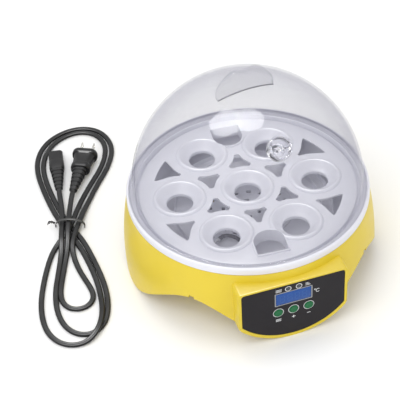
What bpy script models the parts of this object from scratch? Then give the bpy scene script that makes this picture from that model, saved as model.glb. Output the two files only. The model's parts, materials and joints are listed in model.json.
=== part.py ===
"""Seven-egg dome incubator with its loose mains lead.

The base stands on z = 0 and is centred on the z axis. Its console faces -Y.
Lengths in this file are millimetres, and MM turns them into metres when a
mesh is made. Angles are degrees unless a name says otherwise.
"""

import math

import bmesh
import bpy
from mathutils import Matrix, Vector

MM = 0.001

# Base shell
RIM_Z = 79.0
RIM_R = 117.5
BELLY_R = 124.2
BELLY_Z = 17.0
WALL = 2.7
SHELF_Z = 47.0
SHELF_T = 2.8
SHELF_OPENING_R = 72.0
ARCH_HEIGHT = 43.5
NOTCH_HEIGHT = 3.0
NOTCH_HALF_ANGLE = 1.2

# Console
FRONT_Y = -125.4
FRONT_T = 2.7
CONSOLE_HALF = 53.5
CONSOLE_TOP = 71.0
CONSOLE_ARC_Z = 68.37
CONSOLE_BACK_Y = -102.0
PANEL_HALF = 50.25
PANEL_TOP = 69.0
PANEL_ARC_R = 64.6
PANEL_T = 0.8
BUTTON_X = (-15.0, 0.0, 15.0)
BUTTON_Z = 35.6
BUTTON_R = 4.3
LED_X = (-5.25, 5.25)
LED_Z = 64.0
DISPLAY_Z = 52.5
DISPLAY_HALF = (17.0, 7.0)
BOARD_Y = -115.4
BOARD_T = 1.6

# Bowl, tray and dome
FLOOR_Z = 54.0
LEDGE_Z = 83.0
VENT_HOLE_R = 45.0
VENT_RINGS = ((12.0, 6, 17.0), (24.5, 12, 10.0))
TRAY_TOP = 81.5
TRAY_R = 105.3
TRAY_YAW = -6.5
CUP_PITCH = 67.0
CUP_R = 25.6
CUP_HOLE_R = 13.0
DOME_YAW = 6.0
DOME_R = 111.6
DOME_T = 2.2
DOME_CENTRE_Z = 90.8
DOME_FOOT_Z = 83.3
KNOB_ELEVATION = 52.6
KNOB_HOLE_R = 6.4
FINGER_HALF = 13.4
FINGER_INNER_R = 66.0
FINGER_OUTER_R = 93.6
FINGER_COLLAR_T = 1.6

# Fan, heater and bottom cover
FAN_Z = 24.0
FAN_HALF = 30.0
FAN_T = 15.0
COVER_FLOOR = 8.0
SCREW_R = 78.0
BOWL_BOSS_R = 92.0

# Wires
MAINS_WIRE_R = 1.5
CONTROL_CABLE_R = 1.6
HEATER_WIRE_R = 1.1
SENSOR_LEAD_R = 2.0

# Mains lead
TAIL_R = 1.9
PIN_PITCH = 7.8
BLADE_PITCH = 12.7
CONNECTOR_Z = 4.6
PLUG_Z = 8.8
HANK_LOW = 0.3
HANK_HIGH = 10.5
PLUG_DIRECTION = 62.9
CONNECTOR_DIRECTION = 80.0

ROUND = 32
SMALL = 10


# ---------------------------------------------------------------- helpers

def clear_scene():
    for obj in list(bpy.data.objects):
        bpy.data.objects.remove(obj, do_unlink=True)


def material(name, colour, roughness, metallic=0.0, alpha=1.0):
    look = bpy.data.materials.new(name)
    look.use_nodes = True
    shader = look.node_tree.nodes["Principled BSDF"]
    shader.inputs["Base Color"].default_value = (*colour, 1.0)
    shader.inputs["Roughness"].default_value = roughness
    shader.inputs["Metallic"].default_value = metallic
    shader.inputs["Alpha"].default_value = alpha
    look.diffuse_color = (*colour, alpha)
    return look


def point(x, y, z):
    return Vector((x * MM, y * MM, z * MM))


def on_circle(radius, degrees, z=0.0):
    angle = math.radians(degrees)
    return (radius * math.cos(angle), radius * math.sin(angle), z)


def moved(x=0.0, y=0.0, z=0.0, turn=0.0):
    """A place in millimetres, turned about z by degrees."""
    return Matrix.Translation(point(x, y, z)) @ Matrix.Rotation(math.radians(turn), 4, "Z")


def facing_front(x, y, z):
    """A place whose own z axis points to -Y, out of the console."""
    return Matrix.Translation(point(x, y, z)) @ Matrix.Rotation(math.radians(90.0), 4, "X")


# Draws an outline in X and Z and extrudes it along Y.
UPRIGHT = Matrix(((1, 0, 0, 0), (0, 0, 1, 0), (0, 1, 0, 0), (0, 0, 0, 1)))


def add_turned(bm, profile, steps, place=Matrix()):
    """A solid of revolution. A profile with both ends on the axis stays open there."""
    verts = [bm.verts.new(point(r, 0, z)) for r, z in profile]
    edges = [bm.edges.new(pair) for pair in zip(verts, verts[1:])]
    if profile[0][0] > 0 or profile[-1][0] > 0:
        edges.append(bm.edges.new((verts[-1], verts[0])))
    before = set(bm.verts) - set(verts)
    bmesh.ops.spin(
        bm, geom=verts + edges, cent=(0, 0, 0), axis=(0, 0, 1),
        angle=math.tau, steps=steps, use_merge=True,
    )
    made = [v for v in bm.verts if v not in before]
    bmesh.ops.remove_doubles(bm, verts=made, dist=1e-6)
    made = [v for v in bm.verts if v not in before]
    bmesh.ops.transform(bm, matrix=place, verts=made)


def add_prism(bm, outline, low, high, place=Matrix()):
    """An outline extruded from low to high along its own z."""
    base = bm.faces.new([bm.verts.new(point(x, y, low)) for x, y in outline])
    grown = bmesh.ops.extrude_face_region(bm, geom=[base])["geom"]
    top = [item for item in grown if isinstance(item, bmesh.types.BMVert)]
    bmesh.ops.translate(bm, verts=top, vec=point(0, 0, high - low))
    bmesh.ops.transform(bm, matrix=place, verts=top + list(base.verts))


def add_box(bm, low, high):
    (x0, y0, z0), (x1, y1, z1) = low, high
    add_prism(bm, ((x0, y0), (x1, y0), (x1, y1), (x0, y1)), z0, z1)


def add_post(bm, x, y, low, high, radius, hole=0.0, steps=SMALL):
    """A round post, hollow when hole is given."""
    if hole:
        profile = ((hole, low), (radius, low), (radius, high), (hole, high))
    else:
        profile = ((0, low), (radius, low), (radius, high), (0, high))
    add_turned(bm, profile, steps, moved(x, y))


def finished(bm, name, look, place=None, parent=None):
    """Turns a bmesh in world space into an object whose origin is at place."""
    place = place or Matrix()
    bmesh.ops.transform(bm, matrix=place.inverted(), verts=bm.verts)
    bmesh.ops.recalc_face_normals(bm, faces=bm.faces)
    mesh = bpy.data.meshes.new(name)
    bm.to_mesh(mesh)
    bm.free()
    mesh.shade_smooth()
    mesh.set_sharp_from_angle(angle=math.radians(32.0))
    mesh.materials.append(look)
    obj = bpy.data.objects.new(name, mesh)
    bpy.context.scene.collection.objects.link(obj)
    obj.matrix_world = place
    if parent:
        obj.parent = parent
    return obj


def cutter(bm, name):
    obj = finished(bm, name, LOOKS["helper"])
    obj.hide_render = True
    obj.display_type = "WIRE"
    return obj


def combine(target, other, operation, solver="EXACT"):
    modifier = target.modifiers.new(other.name, "BOOLEAN")
    modifier.object = other
    modifier.operation = operation
    modifier.solver = solver


def cut(target, bm, name, solver="EXACT"):
    combine(target, cutter(bm, name), "DIFFERENCE", solver)


def join(target, bm, name, solver="EXACT"):
    combine(target, cutter(bm, name), "UNION", solver)


def arc(cx, cy, radius, start, end, steps):
    """Points on an arc, both ends included."""
    for step in range(steps + 1):
        angle = math.radians(start + (end - start) * step / steps)
        yield (cx + radius * math.cos(angle), cy + radius * math.sin(angle))


def rounded_box(half_x, half_y, corner, cx=0.0, cy=0.0, steps=3):
    outline = []
    for turn, sx, sy in ((0, 1, 1), (90, -1, 1), (180, -1, -1), (270, 1, -1)):
        x = cx + sx * (half_x - corner)
        y = cy + sy * (half_y - corner)
        outline += arc(x, y, corner, turn, turn + 90, steps)
    return outline


def smooth_loop(points, per_span=4, closed=True):
    """Catmull-Rom curve through the points."""
    count = len(points)
    spans = count if closed else count - 1
    result = []
    for i in range(spans):
        if closed:
            p = [Vector(points[(i + k) % count]) for k in (-1, 0, 1, 2)]
        else:
            p = [Vector(points[min(max(i + k, 0), count - 1)]) for k in (-1, 0, 1, 2)]
        for step in range(per_span):
            t = step / per_span
            result.append(tuple(0.5 * (
                2 * p[1] + (p[2] - p[0]) * t
                + (2 * p[0] - 5 * p[1] + 4 * p[2] - p[3]) * t * t
                + (3 * p[1] - p[0] - 3 * p[2] + p[3]) * t ** 3
            )))
    if not closed:
        result.append(tuple(points[-1]))
    return result


def tube(name, route, radius, look, resolution=2, per_span=2):
    """A cable along a smooth curve through its route, in millimetres."""
    data = bpy.data.curves.new(name, "CURVE")
    data.dimensions = "3D"
    data.bevel_depth = radius * MM
    data.bevel_resolution = resolution
    data.use_fill_caps = True
    spline = data.splines.new("POLY")
    points = smooth_loop(route, per_span, closed=False)
    spline.points.add(len(points) - 1)
    for target, place in zip(spline.points, points):
        target.co = (*point(*place), 1.0)
    data.materials.append(look)
    obj = bpy.data.objects.new(name, data)
    bpy.context.scene.collection.objects.link(obj)
    return obj


def screw(name, x, y, under_head, length, shank=1.4, head=3.0, flip=False):
    """A pan-head screw along z. Its head is below its shank unless flip is set."""
    profile = (
        (0, -2.2), (head * 0.75, -2.2), (head, -1.4), (head, 0),
        (shank, 0), (shank, length), (0, length),
    )
    bm = bmesh.new()
    place = moved(x, y, under_head)
    if flip:
        place = place @ Matrix.Rotation(math.pi, 4, "X")
    add_turned(bm, profile, 8, place)
    return finished(bm, name, LOOKS["steel"], place)


# ------------------------------------------------------------- lower base

def skirt_radius(z):
    """Outer radius of the skirt, which swells gently below the rim."""
    return BELLY_R - (BELLY_R - RIM_R) * ((z - BELLY_Z) / (RIM_Z - BELLY_Z)) ** 2


def arch_height(degrees_from_console):
    """Height of the skirt's lower edge: four feet with an arch between each pair."""
    offset = abs(degrees_from_console % 90.0 - 45.0)
    t = 1.0 - offset / 45.0
    height = ARCH_HEIGHT * (3 * t * t - 2 * t ** 3) ** 1.1 - 0.3
    if offset < NOTCH_HALF_ANGLE:
        height += NOTCH_HEIGHT
    return height


def add_arch_ring(bm):
    """Everything under the skirt's wavy edge, as one ring."""
    step = 5.0
    angles = []
    for i in range(int(360 / step)):
        angles.append(i * step)
    for quarter in range(4):
        for side in (-1, 1):
            edge = 45.0 + 90.0 * quarter + side * NOTCH_HALF_ANGLE
            angles += [edge - 0.05, edge + 0.05]
    rings = []
    for angle in sorted(angles):
        top = arch_height(angle)
        corners = ((114.5, -5.0), (131.0, -5.0), (131.0, top), (114.5, top))
        rings.append([bm.verts.new(point(*on_circle(r, angle - 90.0, z))) for r, z in corners])
    for ring, following in zip(rings, rings[1:] + rings[:1]):
        for i in range(4):
            j = (i + 1) % 4
            bm.faces.new((ring[i], ring[j], following[j], following[i]))


def console_outline(half, top, arc_radius, corner):
    """Straight top and sides with a round lower edge, in X and Z."""
    reach = math.degrees(math.acos(half / arc_radius))
    outline = list(arc(half - corner, top - corner, corner, 0, 90, 4))
    outline += arc(-half + corner, top - corner, corner, 90, 180, 4)
    outline += arc(0, CONSOLE_ARC_Z, arc_radius, -180 + reach, -reach, 14)
    return outline


def build_lower_housing():
    """Yellow skirt, shelf and console in one moulding."""
    heights = (RIM_Z, 68.0, 57.0)
    outer = [(skirt_radius(z), z) for z in (*heights, 45.0, 33.0, 20.0, 1.2)]
    outer.append((skirt_radius(0) - 1.0, 0.0))
    inner = [(skirt_radius(z) - WALL, z) for z in (0.0, 20.0, 33.0)]
    shelf = [
        (skirt_radius(SHELF_Z) - WALL, SHELF_Z - SHELF_T),
        (SHELF_OPENING_R, SHELF_Z - SHELF_T),
        (SHELF_OPENING_R, SHELF_Z),
        (skirt_radius(SHELF_Z) - WALL, SHELF_Z),
    ]
    upper = [(skirt_radius(z) - WALL, z) for z in reversed(heights)]
    bm = bmesh.new()
    add_turned(bm, outer + inner + shelf + upper, ROUND)
    housing = finished(bm, "lower_housing", LOOKS["yellow"])

    bm = bmesh.new()
    add_arch_ring(bm)
    cut(housing, bm, "cut_arches", "MANIFOLD")

    block = bmesh.new()
    radius = math.hypot(CONSOLE_HALF, CONSOLE_ARC_Z - 25.8)
    add_prism(
        block, console_outline(CONSOLE_HALF, CONSOLE_TOP, radius, 3.0),
        FRONT_Y, CONSOLE_BACK_Y, UPRIGHT,
    )
    front = [
        edge for edge in block.edges
        if all(abs(v.co.y - FRONT_Y * MM) < 1e-6 for v in edge.verts)
    ]
    bmesh.ops.bevel(block, geom=front, offset=1.2 * MM, segments=2, affect="EDGES", profile=0.5)
    console = cutter(block, "console_block")
    bm = bmesh.new()
    middle = [(skirt_radius(z) - WALL / 2, z) for z in (90.0, 70.0, 58.0, 46.0)]
    add_turned(bm, [(0, 90.0), *middle, (0, 46.0)], ROUND)
    cut(console, bm, "cut_bowl_space")
    combine(housing, console, "UNION", "MANIFOLD")

    bm = bmesh.new()
    inside_y = FRONT_Y + FRONT_T
    add_box(bm, (-50.5, inside_y, 27.0), (50.5, -104.5, 68.2))
    cut(housing, bm, "cut_console_pocket")
    bm = bmesh.new()
    add_box(bm, (-50.5, inside_y, -5.0), (50.5, -95.0, 24.4))
    cut(housing, bm, "cut_under_console")

    bm = bmesh.new()
    add_prism(
        bm, console_outline(PANEL_HALF + 0.3, PANEL_TOP + 0.3, PANEL_ARC_R + 0.3, 3.0),
        FRONT_Y - 1.0, FRONT_Y + 1.2, UPRIGHT,
    )
    cut(housing, bm, "cut_panel_recess")

    bm = bmesh.new()
    add_prism(bm, rounded_box(18.2, 8.2, 0.6, 0, DISPLAY_Z, 2), -127.0, -121.0, UPRIGHT)
    for x in BUTTON_X:
        add_turned(bm, ((0, -4), (5.0, -4), (5.0, 4), (0, 4)), 14, facing_front(x, -123, BUTTON_Z))
    for x in LED_X:
        add_turned(bm, ((0, -4), (2.6, -4), (2.6, 4), (0, 4)), SMALL, facing_front(x, -123, LED_Z))
    cut(housing, bm, "cut_front_holes")

    bm = bmesh.new()
    for x, z in BOARD_POSTS:
        place = facing_front(x, BOARD_Y - 0.3, z)
        add_turned(bm, ((0, 0), (3.0, 0), (3.0, 7.6), (0, 7.6)), SMALL, place)
    add_box(bm, (-13.0, 115.5, 52.0), (13.0, 122.4, 69.0))
    for angle in COVER_SCREW_ANGLES:
        x, y, _ = on_circle(SCREW_R, angle)
        add_post(bm, x, y, SHELF_Z - 1.0, 51.4, 4.0)
    join(housing, bm, "add_bosses")

    bm = bmesh.new()
    for x, z in BOARD_POSTS:
        place = facing_front(x, BOARD_Y + 1.0, z)
        add_turned(bm, ((0, 0), (1.2, 0), (1.2, 6.5), (0, 6.5)), SMALL, place)
    add_prism(bm, rounded_box(9.2, 5.8, 2.0, 0, 60.5), 100.0, 130.0, UPRIGHT)
    for angle in COVER_SCREW_ANGLES:
        x, y, _ = on_circle(SCREW_R, angle)
        add_post(bm, x, y, 40.0, 50.6, 1.75, steps=SMALL)
    for angle in BOWL_SCREW_ANGLES:
        x, y, _ = on_circle(BOWL_BOSS_R, angle)
        add_post(bm, x, y, 40.0, 49.0, 1.75, steps=SMALL)
    cut(housing, bm, "cut_screw_and_inlet_holes")
    return housing


def build_bottom_cover():
    """Dish that closes the electronics space, with fan intake slots and posts."""
    bm = bmesh.new()
    profile = (
        (0, COVER_FLOOR), (66.0, COVER_FLOOR), (68.2, 9.8), (70.6, 40.0), (71.0, 41.4),
        (84.0, 41.4), (84.0, 43.9), (68.6, 43.9), (68.0, 40.0), (65.4, 10.5), (0, 10.5),
    )
    add_turned(bm, profile, ROUND)
    cover = finished(bm, "bottom_cover", LOOKS["yellow"])
    bm = bmesh.new()
    for x, y in FAN_CORNERS:
        add_post(bm, x, y, 9.0, FAN_Z - 0.3, 3.6)
    for angle in HEATER_ARM_ANGLES:
        x, y, _ = on_circle(HEATER_POST_R, angle)
        add_post(bm, x, y, 9.0, HEATER_Z - 0.3, 2.6)
    for x in (-18.0, 18.0):
        add_post(bm, x, 46.0, 9.0, POWER_BOARD_Z - 0.3, 2.6)
    join(cover, bm, "add_cover_posts")
    bm = bmesh.new()
    for ring_r, count in ((9.0, 5), (19.0, 10)):
        for i in range(count):
            x, y, _ = on_circle(ring_r, 360.0 * i / count)
            outline = rounded_box(2.6, 1.4, 1.2, steps=1)
            add_prism(bm, outline, 5.0, 12.0, moved(x, y, turn=360.0 * i / count + 90))
    for angle in COVER_SCREW_ANGLES:
        x, y, _ = on_circle(SCREW_R, angle)
        add_post(bm, x, y, 40.0, 46.0, 1.75, steps=SMALL)
    for x, y in FAN_CORNERS[:2]:
        add_post(bm, x, y, 14.0, 30.0, 1.45, steps=SMALL)
    cut(cover, bm, "cut_cover_holes")
    return cover


def build_cover_screws():
    for number, angle in enumerate(COVER_SCREW_ANGLES, 1):
        x, y, _ = on_circle(SCREW_R, angle)
        screw(f"cover_screw_{number}", x, y, 41.1, 8.6)
    for number, angle in enumerate(BOWL_SCREW_ANGLES, 1):
        x, y, _ = on_circle(BOWL_BOSS_R, angle)
        screw(f"bowl_screw_{number}", x, y, 43.9, 6.6)


# ------------------------------------------------------ bowl, vent plate

def build_water_bowl():
    """White bowl with two water channels, the tray ledge and the dome's seat."""
    top = [
        (117.5, 79.3), (117.5, 85.0), (116.6, 86.8), (115.4, 87.0), (115.0, LEDGE_Z),
        (109.4, LEDGE_Z), (108.2, 76.7), (102.8, 76.7),
        (99.6, 57.2), (97.2, FLOOR_Z), (84.0, FLOOR_Z), (83.0, 59.0),
        (82.0, FLOOR_Z), (73.0, FLOOR_Z), (72.0, 59.0), (71.0, FLOOR_Z),
        (VENT_HOLE_R, FLOOR_Z), (VENT_HOLE_R, 51.8), (41.5, 51.8),
    ]
    under = [
        (41.5, 50.0), (47.5, 50.0), (47.5, 52.0), (98.4, 52.0), (101.9, 56.4),
        (105.0, 74.6), (110.4, 74.6), (110.8, 79.3),
    ]
    bm = bmesh.new()
    add_turned(bm, top + under, ROUND)
    bowl = finished(bm, "water_bowl", LOOKS["white"])
    bm = bmesh.new()
    for angle in BOWL_SCREW_ANGLES:
        x, y, _ = on_circle(BOWL_BOSS_R, angle)
        add_post(bm, x, y, SHELF_Z + 0.3, 53.0, 3.6)
    join(bowl, bm, "add_bowl_bosses")
    bm = bmesh.new()
    for angle in BOWL_SCREW_ANGLES:
        x, y, _ = on_circle(BOWL_BOSS_R, angle)
        add_post(bm, x, y, 46.0, 51.2, 1.75, steps=SMALL)
    x, y, _ = LEAD_HOLE
    add_post(bm, x, y, 48.0, 56.0, 3.6, steps=SMALL)
    cut(bowl, bm, "cut_bowl_holes")
    return bowl


def build_vent_plate():
    """Round plate over the fan with rings of short slots."""
    bm = bmesh.new()
    add_post(bm, 0, 0, 52.1, 54.1, VENT_HOLE_R - 0.3, steps=ROUND)
    plate = finished(bm, "vent_plate", LOOKS["white"])
    bm = bmesh.new()
    add_prism(bm, SLOT, 50.0, 56.0)
    for ring_r, count, first in VENT_RINGS:
        for i in range(count):
            angle = first + 360.0 * i / count
            x, y, _ = on_circle(ring_r, angle)
            add_prism(bm, SLOT, 50.0, 56.0, moved(x, y, turn=angle))
    cut(plate, bm, "cut_vent_slots")
    return plate


# ------------------------------------------------------------- egg tray

def cup_centres():
    yield (0.0, 0.0)
    for i in range(6):
        x, y, _ = on_circle(CUP_PITCH, 60.0 * i)
        yield (x, y)


def inner_window(direction):
    """Small three-sided window between the middle cup and two outer cups."""
    cx, cy, _ = on_circle(CUP_PITCH / math.sqrt(3.0), direction)
    outline = []
    for side in (180.0, 300.0, 60.0):
        bearing = direction + side
        cup_x = cx + 38.7 * math.cos(math.radians(bearing))
        cup_y = cy + 38.7 * math.sin(math.radians(bearing))
        outline += arc(cup_x, cup_y, 32.0, bearing + 180 + 16, bearing + 180 - 16, 3)
    return outline


def outer_window(direction):
    """Large window between two outer cups and the rim."""
    outline = []
    ax, ay, _ = on_circle(CUP_PITCH, direction - 30)
    bx, by, _ = on_circle(CUP_PITCH, direction + 30)
    outline += arc(0, 0, 91.5, direction - 11.5, direction + 11.5, 3)
    outline += arc(bx, by, 33.8, direction + 317, direction + 284, 3)
    outline += arc(ax, ay, 33.8, direction + 76, direction + 43, 3)
    return outline


def finger_outline(half, inner_r, outer_r):
    """Arch towards the middle and a flat side towards the rim, along +X."""
    outline = [(outer_r, -half), (outer_r, half)]
    outline += arc(inner_r + half, 0, half, 90, 270, 8)
    return outline


def build_egg_tray():
    """Round tray with seven egg cups, ten windows and two finger openings."""
    place = moved(turn=TRAY_YAW)
    bm = bmesh.new()
    profile = (
        (0, 79.7), (103.4, 79.7), (103.4, 77.0), (TRAY_R, 77.0), (TRAY_R, 81.0),
        (TRAY_R - 0.6, TRAY_TOP), (0, TRAY_TOP),
    )
    add_turned(bm, profile, ROUND, place)
    tray = finished(bm, "egg_tray", LOOKS["white"], place)

    bm = bmesh.new()
    for x, y in cup_centres():
        add_post(bm, x, y, 70.0, 90.0, CUP_R - 1.4, steps=14)
    bmesh.ops.transform(bm, matrix=place, verts=bm.verts)
    cut(tray, bm, "cut_cup_seats", "MANIFOLD")

    cup = (
        (CUP_R, 80.2), (CUP_R, 82.6), (CUP_R - 1.6, 84.0),
        (CUP_HOLE_R, 74.4), (CUP_HOLE_R, 72.8), (CUP_R - 3.4, 80.2),
    )
    bm = bmesh.new()
    for x, y in cup_centres():
        add_turned(bm, cup, 14, moved(x, y))
    bmesh.ops.transform(bm, matrix=place, verts=bm.verts)
    join(tray, bm, "add_cups", "MANIFOLD")
    bm = bmesh.new()
    for turn in (90.0, 270.0):
        add_prism(bm, finger_outline(
            FINGER_HALF + FINGER_COLLAR_T, FINGER_INNER_R - FINGER_COLLAR_T,
            FINGER_OUTER_R + FINGER_COLLAR_T,
        ), 69.3, 82.6, moved(turn=turn))
    bmesh.ops.transform(bm, matrix=place, verts=bm.verts)
    join(tray, bm, "add_finger_collars", "MANIFOLD")

    bm = bmesh.new()
    for i in range(6):
        add_prism(bm, inner_window(30.0 + 60.0 * i), 74.0, 86.0)
    for i in (0, 2, 3, 5):
        add_prism(bm, outer_window(30.0 + 60.0 * i), 74.0, 86.0)
    for turn in (90.0, 270.0):
        add_prism(bm, finger_outline(FINGER_HALF, FINGER_INNER_R, FINGER_OUTER_R), 60.0, 90.0, moved(turn=turn))
    bmesh.ops.transform(bm, matrix=place, verts=bm.verts)
    cut(tray, bm, "cut_tray_windows", "MANIFOLD")
    return tray


# ----------------------------------------------------------------- dome

def dome_height(radius, r):
    return DOME_CENTRE_Z + math.sqrt(radius * radius - r * r)


def build_dome():
    """Clear cover with a raised pinch grip and a hole for the vent knob."""
    place = moved(z=LEDGE_Z, turn=DOME_YAW)
    inner = DOME_R - DOME_T
    outside = [
        (DOME_R * math.cos(math.radians(a)), DOME_CENTRE_Z + DOME_R * math.sin(math.radians(a)))
        for a in range(0, 88, 11)
    ]
    inside = [
        (inner * math.cos(math.radians(a)), DOME_CENTRE_Z + inner * math.sin(math.radians(a)))
        for a in range(77, -11, -11)
    ]
    foot = [(inner, DOME_FOOT_Z), (114.2, DOME_FOOT_Z), (114.2, 86.5), (113.7, 87.0), (DOME_R, 87.0)]
    profile = [(0, dome_height(inner, 0)), *inside, *foot, *outside, (0, dome_height(DOME_R, 0))]
    bm = bmesh.new()
    add_turned(bm, profile, ROUND, place @ moved(z=-LEDGE_Z))
    dome = finished(bm, "dome", LOOKS["clear"], place)

    base = [(x, dome_height(DOME_R - 1.1, x)) for x in range(-28, 29, 7)]
    crown = [
        (28.4, 205.5), (26.4, 212.0), (22.5, 216.8), (17.0, 220.8), (12.5, 223.6),
        (9.8, 224.4), (6.5, 223.2), (3.0, 221.4), (0, 221.0),
    ]
    mirrored = [(-x, z) for x, z in reversed(crown[:-1])]
    bm = bmesh.new()
    add_prism(bm, base + crown + mirrored, -2.2, 2.2, UPRIGHT)
    bmesh.ops.transform(bm, matrix=Matrix.Rotation(math.radians(DOME_YAW), 4, "Z"), verts=bm.verts)
    join(dome, bm, "add_grip")

    bm = bmesh.new()
    add_turned(bm, ((0, -8), (KNOB_HOLE_R, -8), (KNOB_HOLE_R, 8), (0, 8)), 16, KNOB_PLACE)
    cut(dome, bm, "cut_knob_hole")
    return dome


def build_vent_knob(dome):
    """Clear rotary plug: stem through the dome, round cup and finger bar."""
    bm = bmesh.new()
    profile = (
        (2.6, -7.2), (6.1, -7.2), (7.2, -6.2), (7.2, -4.6), (6.1, -3.8), (6.1, 0.4),
        (11.0, 0.4), (11.0, 10.4), (10.4, 11.2), (9.6, 11.2), (9.2, 10.4), (9.2, 2.6), (2.6, 2.6),
    )
    add_turned(bm, profile, 16, KNOB_PLACE)
    knob = finished(bm, "vent_knob", LOOKS["clear"], KNOB_PLACE)
    bm = bmesh.new()
    for side in (-1, 1):
        outline = rounded_box(3.4, 1.2, 0.6, side * 6.6, 0, 2)
        add_prism(bm, outline, 2.2, 9.8, KNOB_PLACE)
    join(knob, bm, "add_finger_bar")
    return knob


# -------------------------------------------------------------- console

def build_panel():
    """Black fascia with openings for the display, the buttons and two lamps."""
    bm = bmesh.new()
    outline = console_outline(PANEL_HALF, PANEL_TOP, PANEL_ARC_R, 2.8)
    add_prism(bm, outline, FRONT_Y + 0.1, FRONT_Y + 0.1 + PANEL_T, UPRIGHT)
    panel = finished(bm, "fascia_panel", LOOKS["black"])
    bm = bmesh.new()
    half_x, half_z = DISPLAY_HALF
    outline = rounded_box(half_x + 0.3, half_z + 0.3, 0.5, 0, DISPLAY_Z, 2)
    add_prism(bm, outline, -128.0, -120.0, UPRIGHT)
    for x in BUTTON_X:
        hole = ((0, -4), (BUTTON_R + 0.3, -4), (BUTTON_R + 0.3, 4), (0, 4))
        add_turned(bm, hole, 14, facing_front(x, -124, BUTTON_Z))
    for x in LED_X:
        add_turned(bm, ((0, -4), (2.3, -4), (2.3, 4), (0, 4)), SMALL, facing_front(x, -124, LED_Z))
    cut(panel, bm, "cut_panel_openings")

    bm = bmesh.new()
    window = rounded_box(half_x, half_z, 0.5, 0, DISPLAY_Z, 2)
    add_prism(bm, window, FRONT_Y + 0.1, FRONT_Y + 0.9, UPRIGHT)
    finished(bm, "display_window", LOOKS["blue"])


def build_buttons():
    for name, x in zip(("set_button", "plus_button", "minus_button"), BUTTON_X):
        place = facing_front(x, FRONT_Y, BUTTON_Z)
        profile = (
            (0, -5.5), (2.0, -5.5), (2.0, -4.2), (6.0, -4.2), (6.0, -3.1), (BUTTON_R, -3.1),
            (BUTTON_R, 0.4), (BUTTON_R - 0.5, 0.9), (0, 1.1),
        )
        bm = bmesh.new()
        add_turned(bm, profile, 14, place)
        finished(bm, name, LOOKS["green"], place)

        place = facing_front(x, BOARD_Y - 0.3, BUTTON_Z)
        bm = bmesh.new()
        add_box(bm, (x - 3.0, BOARD_Y - 2.6, BUTTON_Z - 3), (x + 3.0, BOARD_Y - 0.3, BUTTON_Z + 3))
        switch = finished(bm, name.replace("button", "switch"), LOOKS["dark"], place)
        bm = bmesh.new()
        add_turned(bm, ((0, 1.0), (1.7, 1.0), (1.7, 3.2), (0, 3.2)), SMALL, place)
        join(switch, bm, f"{name}_plunger")


def build_display_and_lamps():
    bm = bmesh.new()
    add_box(bm, (-16.6, -124.0, DISPLAY_Z - 6.6), (16.6, BOARD_Y - 0.3, DISPLAY_Z + 6.6))
    finished(bm, "display_module", LOOKS["dark"])
    for name, x in zip(("work_lamp", "set_lamp"), LED_X):
        place = facing_front(x, FRONT_Y, LED_Z)
        profile = (
            (0, -9.7), (2.3, -9.7), (2.3, -3.4), (1.9, -3.2), (1.9, -0.9), (1.7, 0.0),
            (1.0, 0.5), (0, 0.7),
        )
        bm = bmesh.new()
        add_turned(bm, profile, SMALL, place)
        finished(bm, name, LOOKS["lamp"], place)


def build_control_board():
    bm = bmesh.new()
    add_box(bm, (-46.0, BOARD_Y, 29.0), (46.0, BOARD_Y + BOARD_T, 66.6))
    board = finished(bm, "control_board", LOOKS["board"])
    bm = bmesh.new()
    for x, z in BOARD_POSTS:
        place = facing_front(x, BOARD_Y, z)
        add_turned(bm, ((0, -4), (1.7, -4), (1.7, 4), (0, 4)), SMALL, place)
    cut(board, bm, "cut_board_holes")
    for number, (x, z) in enumerate(BOARD_POSTS, 1):
        place = facing_front(x, BOARD_Y + BOARD_T + 0.3, z)
        profile = ((0, -1.6), (1.8, -1.6), (2.4, -1.0), (2.4, 0), (0.9, 0), (0.9, 6.4), (0, 6.8))
        bm = bmesh.new()
        add_turned(bm, profile, SMALL, place)
        finished(bm, f"board_screw_{number}", LOOKS["steel"], place)
    bm = bmesh.new()
    add_post(bm, 0, 0, 0, 5.0, 5.5, steps=SMALL)
    bmesh.ops.transform(
        bm, matrix=facing_front(28.0, BOARD_Y + BOARD_T + 5.3, 54.0), verts=bm.verts
    )
    finished(bm, "buzzer", LOOKS["dark"])


# ------------------------------------------------- fan, heater, electrics

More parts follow.
